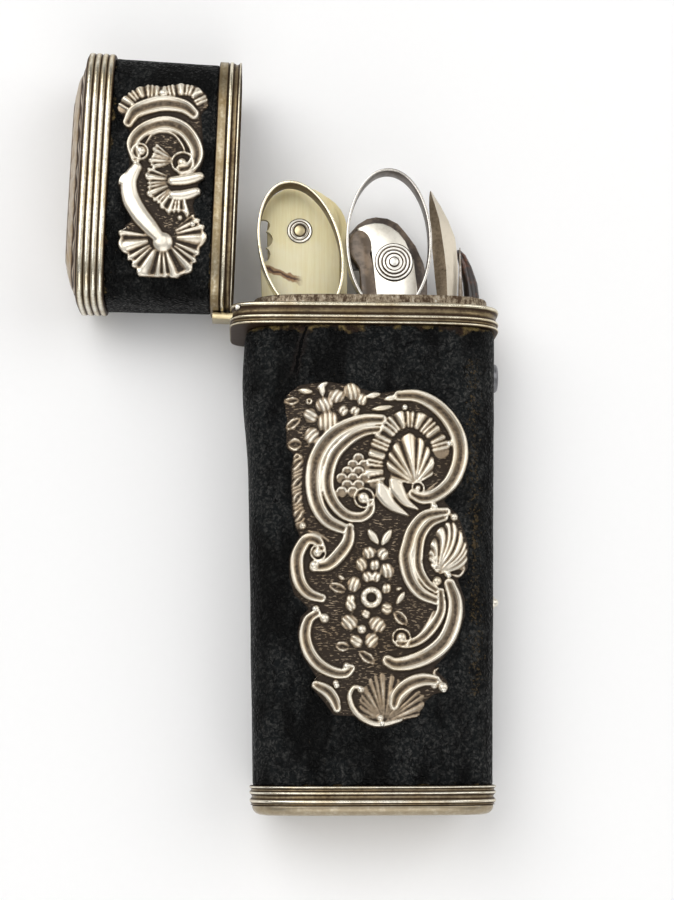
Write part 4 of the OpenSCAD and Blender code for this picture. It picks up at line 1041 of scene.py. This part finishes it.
def eyelet(sheet, x, z, r, hole, petals=0):
    pick, d, turn, *_ = sheet.round_of(x, z, r)
    mid, half = (r + hole) / 2, (r - hole) / 2
    wave = 1 - 0.2 * (1 - np.abs(np.cos(turn * petals / 2))) if petals else 1.0
    sheet.raise_to(pick, np.where(d < r, 0.2 + 0.66 * dome(d - mid, half) * wave, BELOW))


def scales(sheet, outline, pitch=1.65):
    """Fish scales inside an outline: each rises to its upper edge over the one above."""
    p = np.array(outline, float)
    row = 0
    for z in np.arange(p[:, 1].max(), p[:, 1].min(), -pitch * 0.6):
        row += 1
        for x in np.arange(p[:, 0].min() + (row % 2) * pitch / 2, p[:, 0].max(), pitch):
            inside = 0
            for a, b in zip(p, np.roll(p, -1, 0)):
                inside ^= bool((a[1] > z) != (b[1] > z)
                               and x < a[0] + (z - a[1]) / (b[1] - a[1]) * (b[0] - a[0]))
            if inside:
                pick, d, _, dx, dz = sheet.round_of(x, z, pitch * 0.56)
                inner = d < pitch * 0.58
                rim = np.exp(-((d / pitch - 0.42) / 0.09) ** 2) * (dz > 0)
                line = np.exp(-((d / pitch - 0.56) / 0.05) ** 2)
                sheet.h[pick[inner]] = (0.42 + 0.34 * rim - 0.3 * line)[inner]


print("strokes:", [f.__name__ for f in (channel, ridge, ruffle, fan, bead, berry, leaf, eyelet)])

# %% [markdown]
# ### Strokes of the body's plaque
# A large C-scroll and a fluted shell above, a garland of flowers down the middle, a second
# shell on the right, and smaller scrolls round the foot.

# %% Body strokes
BODY_CHANNELS = [
    (2.2, [(3.7, 60.8), (6.3, 60.8), (8.9, 59.6), (11.1, 57.4), (12.5, 54.6), (12.7, 51.5), (11.4, 48.2),
           (9.2, 46.2), (7.1, 45.6), (5.7, 46.2)]),
    (2.2, [(1.1, 57.2), (-1.3, 57.1), (-4.2, 56.1), (-6.8, 54.1), (-8.5, 51.1), (-8.9, 47.6), (-8.3, 44.5),
           (-6.7, 42.2), (-4, 40.9)]),
    (1.7, [(0.6, 55.7), (-1.4, 55.4), (-3.6, 54.2), (-5.7, 52), (-6.7, 49.2), (-6.7, 46.8), (-5.8, 44.7),
           (-4.1, 43.1), (-2, 42.8), (-0.7, 43.6), (-0.5, 44.9)]),
    (1.9, [(-3.6, 41.2), (-3.9, 39.2), (-5, 37.5), (-6.7, 35.9), (-8.8, 35.5)]),
    (1.9, [(10.5, 43.6), (7.5, 43), (5.7, 41), (4.9, 38.7), (4.5, 36.7), (5.1, 33.9), (6.6, 31.8),
           (8.9, 30.7)]),
    (1.4, [(10.3, 42.8), (8.3, 42), (6.9, 40.2), (6.4, 38), (6.4, 35.4), (7.5, 33.3), (8.9, 32.2)]),
    (2.3, [(10.9, 33.1), (11.7, 30.5), (11.4, 27.6), (10.1, 24.8), (7.9, 22.9), (5.2, 21.8), (3, 21.5),
           (1.8, 22)]),
    (1.4, [(9.6, 32), (9.6, 29.2), (8.4, 26.9), (6.7, 25.2), (4.8, 24.4), (3.3, 24.5)]),
    (1.8, [(-7.7, 38.2), (-8.4, 39.3), (-9.5, 39.6), (-10.3, 39), (-11.2, 37.1), (-11.2, 34.8),
           (-10.6, 32.9), (-9.4, 31.6), (-7.7, 31)]),
    (1.7, [(-8.4, 28.8), (-9.6, 27.8), (-10.1, 25.6), (-9.5, 23.3), (-8.1, 21.5), (-6.1, 20.4),
           (-4.3, 20.2), (-3.5, 20.9)]),
    (1.6, [(-8.6, 18.6), (-6.9, 17.7), (-5.9, 16.4), (-5.5, 15.2)]),
    (1.9, [(2.7, 15.7), (3.2, 17.2), (4.8, 18.6), (6.8, 19.3), (8.7, 19.2)]),
]
BODY_RIDGES = [
    (1.0, 0.55, [(-2.1, 18.2), (-3.1, 18.2), (-3.7, 17), (-3.3, 15.4), (-2.1, 13.9), (-0.2, 13), (1.5, 13),
                 (3.6, 13.5)]),
    (0.5, 0.4, [(8.6, 29.2), (7.3, 26.9), (5.7, 25)]),
    (0.5, 0.35, [(-6.7, 39.3), (-8.2, 40.4), (-9.7, 40.8)]),
    (0.45, 0.35, [(9.3, 48), (7.9, 46.9), (7.1, 46.4)]),
    (0.5, 0.4, [(9.2, 21), (8.5, 20.2), (10, 18.6)]),
    (0.5, 0.4, [(11.1, 34.5), (12.4, 34.3), (13.2, 35.3)]),
]
BODY_BEADS = [
    (4.5, 59.1, 0.48), (11.2, 53.8, 0.52), (8.7, 44.4, 0.61), (-1.6, 45.6, 0.91), (6.4, 47.1, 0.48),
    (-10.4, 41.5, 0.56), (11.7, 42.9, 0.65), (9.1, 33.5, 0.74), (10.6, 34.5, 0.52), (-8.5, 29.5, 0.56),
    (-5.7, 18.8, 0.52), (0.7, 13.8, 0.52), (8.5, 18.4, 0.52), (9.8, 18.2, 0.78), (-1.9, 26.5, 0.74),
    (3.8, 25.3, 0.82), (-8.3, 37.6, 0.74), (-7.3, 28.1, 0.78), (-4.1, 21.2, 0.65), (-8.8, 35.8, 0.74),
    (-2.1, 17.9, 0.56)]
BODY_BERRIES = [
    (-7.3, 59.4, 1.04, 20), (-9.3, 57.8, 0.91, 60), (-5.5, 60.7, 0.95, -30), (-3.2, 61.4, 1.08, 10),
    (-1.7, 60.2, 0.74, -20), (-4.5, 58.5, 0.69, -40), (-2.8, 58.5, 0.65, -30), (-6.8, 56.9, 1.34, 0),
    (-9.1, 54.8, 1.0, -45), (-0.8, 37.6, 0.82, 20), (1.2, 37.4, 0.78, -40), (-1.9, 35.9, 0.82, 30),
    (0, 35.8, 0.69, 0), (1.8, 35, 0.91, 10), (-1, 34.1, 0.74, 20), (0.2, 34.1, 0.65, -20),
    (-3, 33, 0.91, -20), (-3.5, 30.9, 0.56, 0), (-3.5, 30, 0.74, 30), (-3.7, 27.5, 1.0, 40),
    (0.3, 27.2, 1.0, -35), (-2.7, 24.8, 0.82, 60), (-0.5, 24.9, 0.91, -45), (1.7, 32.4, 0.65, 0),
    (1.7, 29.5, 0.74, 80), (-1.3, 28.7, 0.56, 60)]
BODY_LEAVES = [
    (-11.2, 61.6, -8.9, 61.3, 1.0, 0), (-8.4, 61.8, -6.7, 62.8, 0.95, 0), (-7.7, 62.5, -7.5, 60.6, 1.08, 0),
    (-13.3, 59.9, -10.8, 60.1, 1.12, 1), (-13, 55.8, -10.7, 57.4, 1.3, 1), (-1.2, 60.6, 1.1, 61.1, 1.08, 0),
    (-0.4, 58.7, 2.9, 59.2, 0.95, 0), (1.4, 60.2, 3.7, 60.7, 1.0, 0),
    (-1, 41.1, 0.6, 38.8, 1.3, 0), (2.5, 41.1, 1, 38.6, 1.3, 0),
    (-12.7, 53.5, -10.5, 53.5, 1.95, 1), (-6.7, 33, -4.1, 32, 1.38, 1), (-5.3, 34.3, -4.3, 33.6, 0.65, 0),
    (4.4, 32, 3.1, 30.1, 1.0, 0), (2.7, 29.2, 4.7, 27.1, 1.56, 1), (-5.8, 24.2, -3.6, 23.9, 1.43, 1),
    (-2.4, 23.4, 0, 21.6, 1.38, 1), (3, 32.2, 4, 32.5, 0.56, 0)]
BODY_CLAWS = [(2.9, [(0.9, 47.4), (1.5, 45.9), (2.6, 44.5), (5.0, 43.0)]),
              (2.8, [(2.7, 48.1), (3.6, 46.5), (4.6, 45.0), (6.5, 43.9)])]
BODY_RUFFLE = [(0.3, 48.0), (0.0, 49.7), (0.2, 51.3), (0.9, 53.4), (1.9, 55.4), (3.4, 56.9),
               (5.2, 57.3), (7.0, 56.9), (8.5, 55.6), (9.5, 54.1), (9.9, 52.7)]
BODY_SHELLS = [
    ((6.0, 47.6), 9, 0.0, [(2.9, 48.1), (1.8, 50.1), (2.0, 52.0), (3.0, 53.7), (4.0, 54.8), (5.2, 55.3),
                           (6.7, 54.8), (7.8, 53.5), (8.7, 51.8), (8.9, 50.1), (8.4, 48.8)]),
    ((9.2, 34.4), 11, 0.35, [(8.1, 35.8), (7.9, 37.5), (8.4, 39.6), (9.6, 41.5), (11.1, 42.4),
                             (12.4, 41.5), (13.0, 40.1), (13.6, 38.6), (13.6, 36.8), (13.1, 35.3)]),
    ((1.3, 13.2), 16, 0.0, [(6.2, 13.9), (7.2, 15.6), (7.0, 17.3), (4.6, 18.6), (2.3, 20.0), (0.7, 20.3),
                            (-0.7, 19.6), (-1.9, 17.6), (-2.4, 15.6), (-2.2, 14.2)])]
BODY_EYELETS = [(-0.5, 31.1, 1.64, 0.61, 7), (6.4, 47.1, 1.0, 0.74, 0), (-1.5, 45.6, 1.56, 1.25, 0),
                (-9.5, 59.9, 0.52, 0.19, 0), (-8.2, 37.6, 1.21, 0.95, 0), (3.8, 25.3, 1.43, 1.12, 0)]
BODY_STRIP = [(-11.1, 51.5), (-11.2, 49.0), (-11.3, 46.5), (-11.0, 43.7), (-10.8, 41.6)]
BODY_SCALES = [(-1.0, 52.4), (-3.7, 51.3), (-5.2, 49.0), (-5.6, 47.1), (-4.8, 45.2), (-2.1, 46.2),
               (-1.0, 47.7), (-1.4, 50.2)]
BODY_OUTLINE = [
    (-13.5, 61), (-10.9, 62.7), (-6.6, 63.1), (-3.2, 62.5), (0.7, 61.4), (3.3, 61.8), (6.6, 61.9),
    (9.4, 60.9), (12.2, 58.3), (14, 55.1), (14.2, 51.4), (13, 47.8), (10.5, 45.3), (12.5, 43.3),
    (13.8, 39.9), (14.1, 38.5), (13.9, 35.3), (12.4, 33.8), (13.4, 31), (13.4, 28.5), (12.2, 25),
    (10.3, 22.5), (8.8, 21), (10.7, 19.1), (10.5, 17.5), (8.5, 17), (6.8, 15.6), (5.7, 13.9), (3.4, 13),
    (1.3, 12.2), (-0.8, 12.6), (-2.9, 13.9), (-5, 14), (-6.1, 14.1), (-7.5, 16), (-9.4, 18.1),
    (-8.6, 19.4), (-10.6, 22.5), (-11.4, 25.9), (-10.9, 28.4), (-9.8, 29.5), (-11.8, 31.4), (-12.6, 34.1),
    (-12.5, 37.1), (-12.4, 37.4), (-11.1, 40), (-12.2, 43.6), (-12.4, 50.1), (-11.8, 51.8), (-13.1, 53.1),
    (-13.1, 57.1), (-13.6, 59.9)]
print("body plaque:", len(BODY_CHANNELS), "scrolls and", len(BODY_BERRIES), "petals and berries")

# %% [markdown]
# ### From heights to a sheet
# The grid is added flat and its points are set on the front face, each pushed out by its
# height. What lies deep under the skin is deleted in edit mode, and the open edge is
# extruded into the case and filled, so that the sheet is a closed solid. Two numbers go with
# each point: its height, and how far it stands above its neighbours, which the tarnish reads.

# %% Sheet to mesh
def plaque(name, x_range, z_range, pitch, strokes, above=0.0):
    across = round((x_range[1] - x_range[0]) / pitch)
    tall = round((z_range[1] - z_range[0]) / pitch)
    alone()
    bpy.ops.mesh.primitive_grid_add(x_subdivisions=across, y_subdivisions=tall, size=1,
                                    location=(0, 0, 0))
    piece = bpy.context.object
    piece.name = piece.data.name = name
    co = places(piece)
    x = x_range[0] + (co[:, 0] + 0.5) * (x_range[1] - x_range[0])
    z = z_range[0] + (co[:, 1] + 0.5) * (z_range[1] - z_range[0])
    sheet = Sheet(x, z)
    strokes(sheet)
    deep = sheet.h < BELOW + 0.12
    raised = np.where(sheet.h > 0.05, 1.0, 0.0)
    dents = np.array([noise.noise(Vector((a * 1.3, b * 2.6, 0.0))) for a, b in zip(x, z)])
    h = sheet.h + raised * np.where(sheet.h < 0.28, 0.09, 0.012) * dents
    rows = h.reshape(tall + 1, across + 1)
    flat = np.maximum(rows, 0.0)
    for _ in range(34):
        flat = (flat + np.roll(flat, 1, 0) + np.roll(flat, -1, 0) + np.roll(flat, 1, 1)
                + np.roll(flat, -1, 1)) / 5
    soft = rows.copy()
    for _ in range(2):
        soft = (2 * soft + np.roll(soft, 1, 0) + np.roll(soft, -1, 0) + np.roll(soft, 1, 1)
                + np.roll(soft, -1, 1)) / 6
    h = soft.ravel()
    mark(piece, "crest", np.clip(0.5 + (h - flat.ravel()) / 0.5, 0, 1))
    mark(piece, "relief", np.clip(h / HIGHEST, 0, 1))
    zz = z + above
    put(piece, np.stack([x, front_y(x, zz, h), zz], 1))
    piece.data.vertices.foreach_set("select", deep)
    only(piece)
    bpy.ops.object.mode_set(mode="EDIT")
    bpy.ops.mesh.select_mode(type="VERT")
    bpy.ops.object.mode_set(mode="OBJECT")
    for part in (piece.data.polygons, piece.data.edges):
        part.foreach_set("select", [False] * len(part))
    piece.data.vertices.foreach_set("select", deep)
    bpy.ops.object.mode_set(mode="EDIT")
    bpy.ops.mesh.delete(type="VERT")
    bpy.ops.mesh.select_all(action="DESELECT")
    bpy.ops.mesh.select_mode(type="EDGE")
    bpy.ops.mesh.select_non_manifold()
    bpy.ops.mesh.extrude_region_move(TRANSFORM_OT_translate={"value": (0, 0.35, 0)})
    bpy.ops.mesh.edge_face_add()
    bpy.ops.mesh.select_mode(type="VERT")
    bpy.ops.mesh.select_all(action="SELECT")
    bpy.ops.mesh.normals_make_consistent(inside=False)
    bpy.ops.object.mode_set(mode="OBJECT")
    return piece


def body_strokes(sheet):
    sheet.ground(BODY_OUTLINE)
    for x, z, r, angle in BODY_BERRIES:
        berry(sheet, x, z, r * 1.2, angle)
    for words in BODY_LEAVES:
        leaf(sheet, *words)
    scales(sheet, BODY_SCALES)
    ruffle(sheet, 1.7, 0.75, BODY_STRIP, slant=0.9, tall=0.22)
    ruffle(sheet, 2.8, 0.92, BODY_RUFFLE, tall=0.5)
    for hub, ribs, curl, edge in BODY_SHELLS:
        shell(sheet, hub, edge, ribs, 0.2 if ribs == 16 else 0.5, curl)
    for words in BODY_CLAWS:
        claw(sheet, *words)
    for width, points in BODY_CHANNELS:
        channel(sheet, width, points)
    for words in BODY_RIDGES:
        ridge(sheet, *words)
    for words in BODY_EYELETS:
        eyelet(sheet, *words)
    for words in BODY_BEADS:
        bead(sheet, *words)


FINE = 0.12
body_plaque = plaque("body_scrollwork", (-15, 15), (11, 64.5), FINE, body_strokes)
smooth(lay(body_plaque), 75)
finish_piece(body_plaque, "case", chased_silver, "body_plaque")

# %% [markdown]
# ### Strokes of the lid's plaque
# Its places are counted up from the seam. A ruffle and a crescent stand at the right, a
# scroll with a small shell in the middle, and a smooth lobe ends in a rosette of ribs.

# %% Lid strokes
LID_CHANNELS = [
    (2.3, [(7.3, 16.7), (9, 15.7), (10.1, 13.5), (10.6, 11.1), (10.2, 8.5), (9.1, 7)]),
    (2.1, [(1.7, 15.3), (4, 15.9), (5.8, 14.8), (7, 12.8), (7.4, 10.6), (6.5, 8.3), (4.5, 6.7), (2.5, 6.2),
           (0.8, 7), (0.3, 8.5)]),
]
LID_RIDGES = [
    (2.9, 0.8, [(0.3, 15.1), (-1.8, 16.1), (-4.3, 15.8), (-6.6, 14.5), (-8.8, 12.6), (-10.5, 11)]),
    (1.8, 0.75, [(-1.5, 9.7), (-1.2, 7.7), (-0.6, 5.6)], 0.8),
    (1.8, 0.75, [(-3.7, 9.5), (-3.6, 7.9), (-3.0, 6.0)], 0.8),
    (0.5, 0.45, [(4.1, 13.9), (5.5, 13), (6.1, 11.4), (5.6, 9.7), (4.2, 8.5), (2.8, 7.9)]),
]
LID_BEADS = [(12.3, 11.6, 0.68), (-10.9, 10.7, 1.59), (2.9, 14.6, 0.79), (1.4, 8.4, 0.74),
             (-7.1, 8.3, 0.45), (-6.7, 7.3, 0.34)]
LID_EYELETS = [(2.8, 14.7, 1.36, 1.02, 0), (1.4, 8.3, 1.76, 1.42, 0)]
LID_LEAVES = [(-2.5, 17.7, -0.4, 16.6, 0.96, 0)]
LID_FANS = [(1.5, 9.1, 1.0, 4.3, 50, 113, 7), (-1.4, 8.5, 2.0, 5.4, 69, 198, 12),
            (-10.2, 10.8, 2.1, 6.7, 81, 310, 14)]
LID_RUFFLE = [(9.5, 17.6), (11.3, 16.4), (12.4, 14.5), (12.5, 11.7), (13, 9.2), (12.6, 7), (10.8, 5.7)]
LID_OUTLINE = [
    (9.5, 18.3), (11.5, 17.2), (13, 15.4), (13.9, 13.8), (13.6, 11.8), (13.5, 10.1), (14.2, 9),
    (14.1, 6.7), (12.5, 5), (11, 4.8), (9.1, 5.7), (6, 5.4), (2.8, 5), (0.2, 5.5), (-2.4, 5.7),
    (-5, 6.3), (-7, 5.8), (-9.3, 5.2), (-12.3, 5.3), (-14, 6.6), (-14.9, 8.8), (-14.5, 11.3),
    (-13.7, 13.8), (-12.2, 15.8), (-10, 17.2), (-8.4, 16.5), (-7.5, 15.4), (-5.5, 16.6), (-3.6, 17.2),
    (-2.4, 17.9), (-1.6, 17.6), (-0.1, 16.4), (2.3, 16.5), (4, 16.8), (5.5, 16.4), (6.9, 17.1)]


def lid_strokes(sheet):
    sheet.ground(LID_OUTLINE)
    ruffle(sheet, 2.2, 0.85, LID_RUFFLE, tall=0.5)
    for words in LID_FANS:
        fan(sheet, *words)
    for words in LID_LEAVES:
        leaf(sheet, *words)
    for width, points in LID_CHANNELS:
        channel(sheet, width, points)
    for words in LID_RIDGES:
        ridge(sheet, *words)
    for words in LID_EYELETS:
        eyelet(sheet, *words)
    for words in LID_BEADS:
        bead(sheet, *words)


lid_plaque = plaque("lid_scrollwork", (-16, 15), (3.9, 19), FINE, lid_strokes, above=SEAM)
smooth(lay(lid_plaque, True), 75)
finish_piece(lid_plaque, "lid", chased_silver, "lid_plaque")

# %% [markdown]
# ## The scissors' finger bows
# A bow is one flat strip of silver bent into an oval, standing on edge, so its thin rim is
# what the photograph shows. A ring is extruded round a small rounded section, as the bands
# were, and then set on the oval, which the left bow leans by 13 degrees.

# %% Bows
def bow(name, middle, radii, lean, strip=0.42, deep=3.2, front=-3.9):
    """A strip on edge round an oval; middle is (x, height above the seam)."""
    r = 0.1
    section = []
    for cx, cy, start in ((strip - r, r, -90), (strip - r, deep - r, 0), (r, deep - r, 90), (r, r, 180)):
        for a in range(start, start + 91, 30):
            section.append((cx + r * math.cos(math.radians(a)), cy + r * math.sin(math.radians(a))))
    alone()
    bpy.ops.mesh.primitive_circle_add(vertices=AROUND, radius=0.02, location=(0, 0, 0))
    piece = bpy.context.object
    piece.name = piece.data.name = name
    bpy.ops.object.mode_set(mode="EDIT")
    for _ in section[1:]:
        bpy.ops.mesh.extrude_region_move(TRANSFORM_OT_translate={"value": (0, 0, 0.001)})
    bpy.ops.mesh.select_mode(type="EDGE")
    bpy.ops.mesh.select_all(action="DESELECT")
    bpy.ops.mesh.select_non_manifold()
    bpy.ops.mesh.bridge_edge_loops()
    bpy.ops.mesh.select_mode(type="VERT")
    bpy.ops.object.mode_set(mode="OBJECT")
    co = places(piece)
    level = np.rint(co[:, 2] / 0.001).astype(int)
    turn = np.arctan2(co[:, 1], co[:, 0])
    inset, depth = np.array(section)[level].T
    inset = strip - inset
    u = (radii[0] - inset) * np.cos(turn)
    v = (radii[1] - inset) * np.sin(turn)
    c, s = math.cos(math.radians(lean)), math.sin(math.radians(lean))
    put(piece, np.stack([middle[0] + u * c - v * s, front + depth,
                         SEAM + middle[1] + u * s + v * c], 1))
    # The inner face is marked so that the finish can paint it darker as shade.
    mark(piece, "inner", (inset > strip * 0.6) & (depth > r * 0.9))
    tidy(piece, 1e-6)
    smooth(lay(piece), 50)
    return piece


left_bow = bow("left_finger_bow", (-10.65, 9.4), (6.3, 10.8), 13)
right_bow = bow("right_finger_bow", (2.8, 10.7), (6.55, 11.45), 0)
finish_piece(left_bow, "scissors_left", bow_gilt, "left_bow")
finish_piece(right_bow, "scissors_right", bow_silver, "right_bow")

# %% [markdown]
# ## The other tools and fittings
# These solids have the right outline already and only lack the softness of handled things.
# A copy of each is merged, its flat faces are joined again, and its edges get a small bevel
# that catches the light.

# %% Softened copies
def handled(name, node, body, finish, bevel=0.08, degrees=35, segments=2):
    alone()
    piece = bpy.data.objects.new(name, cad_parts[node].data.copy())
    bpy.context.scene.collection.objects.link(piece)
    only(piece)
    bpy.ops.object.mode_set(mode="EDIT")
    bpy.ops.mesh.select_all(action="SELECT")
    bpy.ops.mesh.remove_doubles(threshold=2e-6)
    bpy.ops.mesh.dissolve_limited(angle_limit=math.radians(0.8))
    bpy.ops.object.mode_set(mode="OBJECT")
    if bevel:
        soft = piece.modifiers.new("soft", "BEVEL")
        soft.width, soft.segments = bevel * MM, segments
        soft.limit_method, soft.angle_limit = "ANGLE", math.radians(degrees)
        soft.harden_normals = False
        bpy.ops.object.modifier_apply(modifier="soft")
    smooth(piece, degrees)
    finish_piece(piece, body, finish, node)
    return piece


front_leaf = handled("front_tablet", "tablet_front", "tablet_leaf", front_ivory, 0.12)
cut(front_leaf, *[lay(cutter("rod", (x, 0.5, SEAM + z), (r, 3), ALONG_Y))
                  for x, z, r in ((-16.3, 14.0, 1.0), (-16.2, 11.8, 1.35), (-16.4, 9.4, 1.2))])
smooth(front_leaf, 35)
back_leaf = handled("back_tablet", "tablet_back", "tablets", back_ivory, 0.12)
handled("tablet_pin", "tablet_rivet", "tablets", rivet_gilt, 0.05)
handled("tablet_rings", "tablet_washers", "tablets", washer_silver, 0.02)
back_scale = handled("knife_back", "knife_back_scale", "knife", dark_shell, 0.3, 30, 3)
cut(back_scale, lay(cutter("block", (-3.35, 2.5, SEAM + 2.2), (4, 6, 11))))
smooth(back_scale, 30)
handled("knife_silver_plate", "knife_plate", "knife", plain_silver, 0.2, 30, 3)
handled("knife_front_lobe", "knife_front_scale", "knife", lobe_shell, 0.22, 30, 3)
handled("knife_boss", "knife_pivot", "knife", boss_silver, 0.03)
handled("knife_steel", "knife_blade", "knife_blade", steel, 0.05)
leaf_end = handled("leaf_end", "leaf_tool", "leaf_tool", leaf_silver, 0)
# Painted light and shade: each face is marked by the way it faces, so its finish paints right-facing facets
# lighter.
side = leaf_end.data.attributes.new("face", "FLOAT", "FACE")
side.data.foreach_set("value", [1.0 if p.normal.x > 0 else 0.0 for p in leaf_end.data.polygons])
handled("spike_steel", "steel_spike", "spike", steel, 0)
handled("shell_handle", "horn_handle", "horn_tool", handle_shell, 0, 60)
handled("left_steel", "left_blade", "scissors_left", steel, 0.12)
handled("right_steel", "right_blade", "scissors_right", steel, 0.12)
handled("scissors_pin", "scissors_screw", "scissors", steel, 0.05)
handled("press_button", "push_button", "catch", dark_metal, 0)
handled("button_ring", "button_bush", "case", dark_metal, 0.05)
handled("beaded_rivet", "spring_rivet", "case", plain_silver, 0.03)
handled("hinge_case_tubes", "hinge_tubes", "case", rivet_gilt, 0.05)
handled("hinge_lid_tube", "lid_hinge_tube", "lid", rivet_gilt, 0.05)
handled("hinge_wire", "hinge_pin", "case", plain_silver, 0.08)
handled("body_pin_heads", "body_plaque_pins", "case", plain_silver, 0)
handled("lid_pin_heads", "lid_plaque_pins", "lid", plain_silver, 0)

# %% [markdown]
# ## Wood, lining and steel inside
# The case's core, the slotted block and the lining keep their solids. They only get their
# finishes, because a solid of the frame is never reshaped here.

# %% Finishes on the frame's own solids
for node, finish in (("body_core", case_wood), ("tool_block", block_wood), ("lid_core", case_wood),
                     ("lid_lining", lid_felt), ("catch_spring", steel), ("catch_tongue", steel)):
    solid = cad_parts[node]
    solid.data.materials.clear()
    solid.data.materials.append(finish)
    print(node, "is finished as", finish.name)

# %% [markdown]
# ## The table
# White paper, which keeps the soft shadow. Its colour makes the background pale, and no
# extra light does. Far from the case it fades out, so that no edge of it is seen.

# %% Table
alone()
bpy.ops.mesh.primitive_plane_add(size=1.3, location=(0, 0, 0))
table = bpy.context.object
table.name = "paper"
paper = Finish("white_paper", Specular_IOR_Level=0.2)
fibre = paper.cloud(0.8, 3)
paper_white = paper.mix(fibre, (0.90, 0.895, 0.89), (0.915, 0.91, 0.905))
across, along, _ = paper.xyz()
fade = paper.maths("SQRT", across ** 2 + along ** 2).between(560, 230)
table.data.materials.append(paper.done(Base_Color=paper_white, Roughness=0.7 + fibre * 0.1,
                                       Alpha=fade))
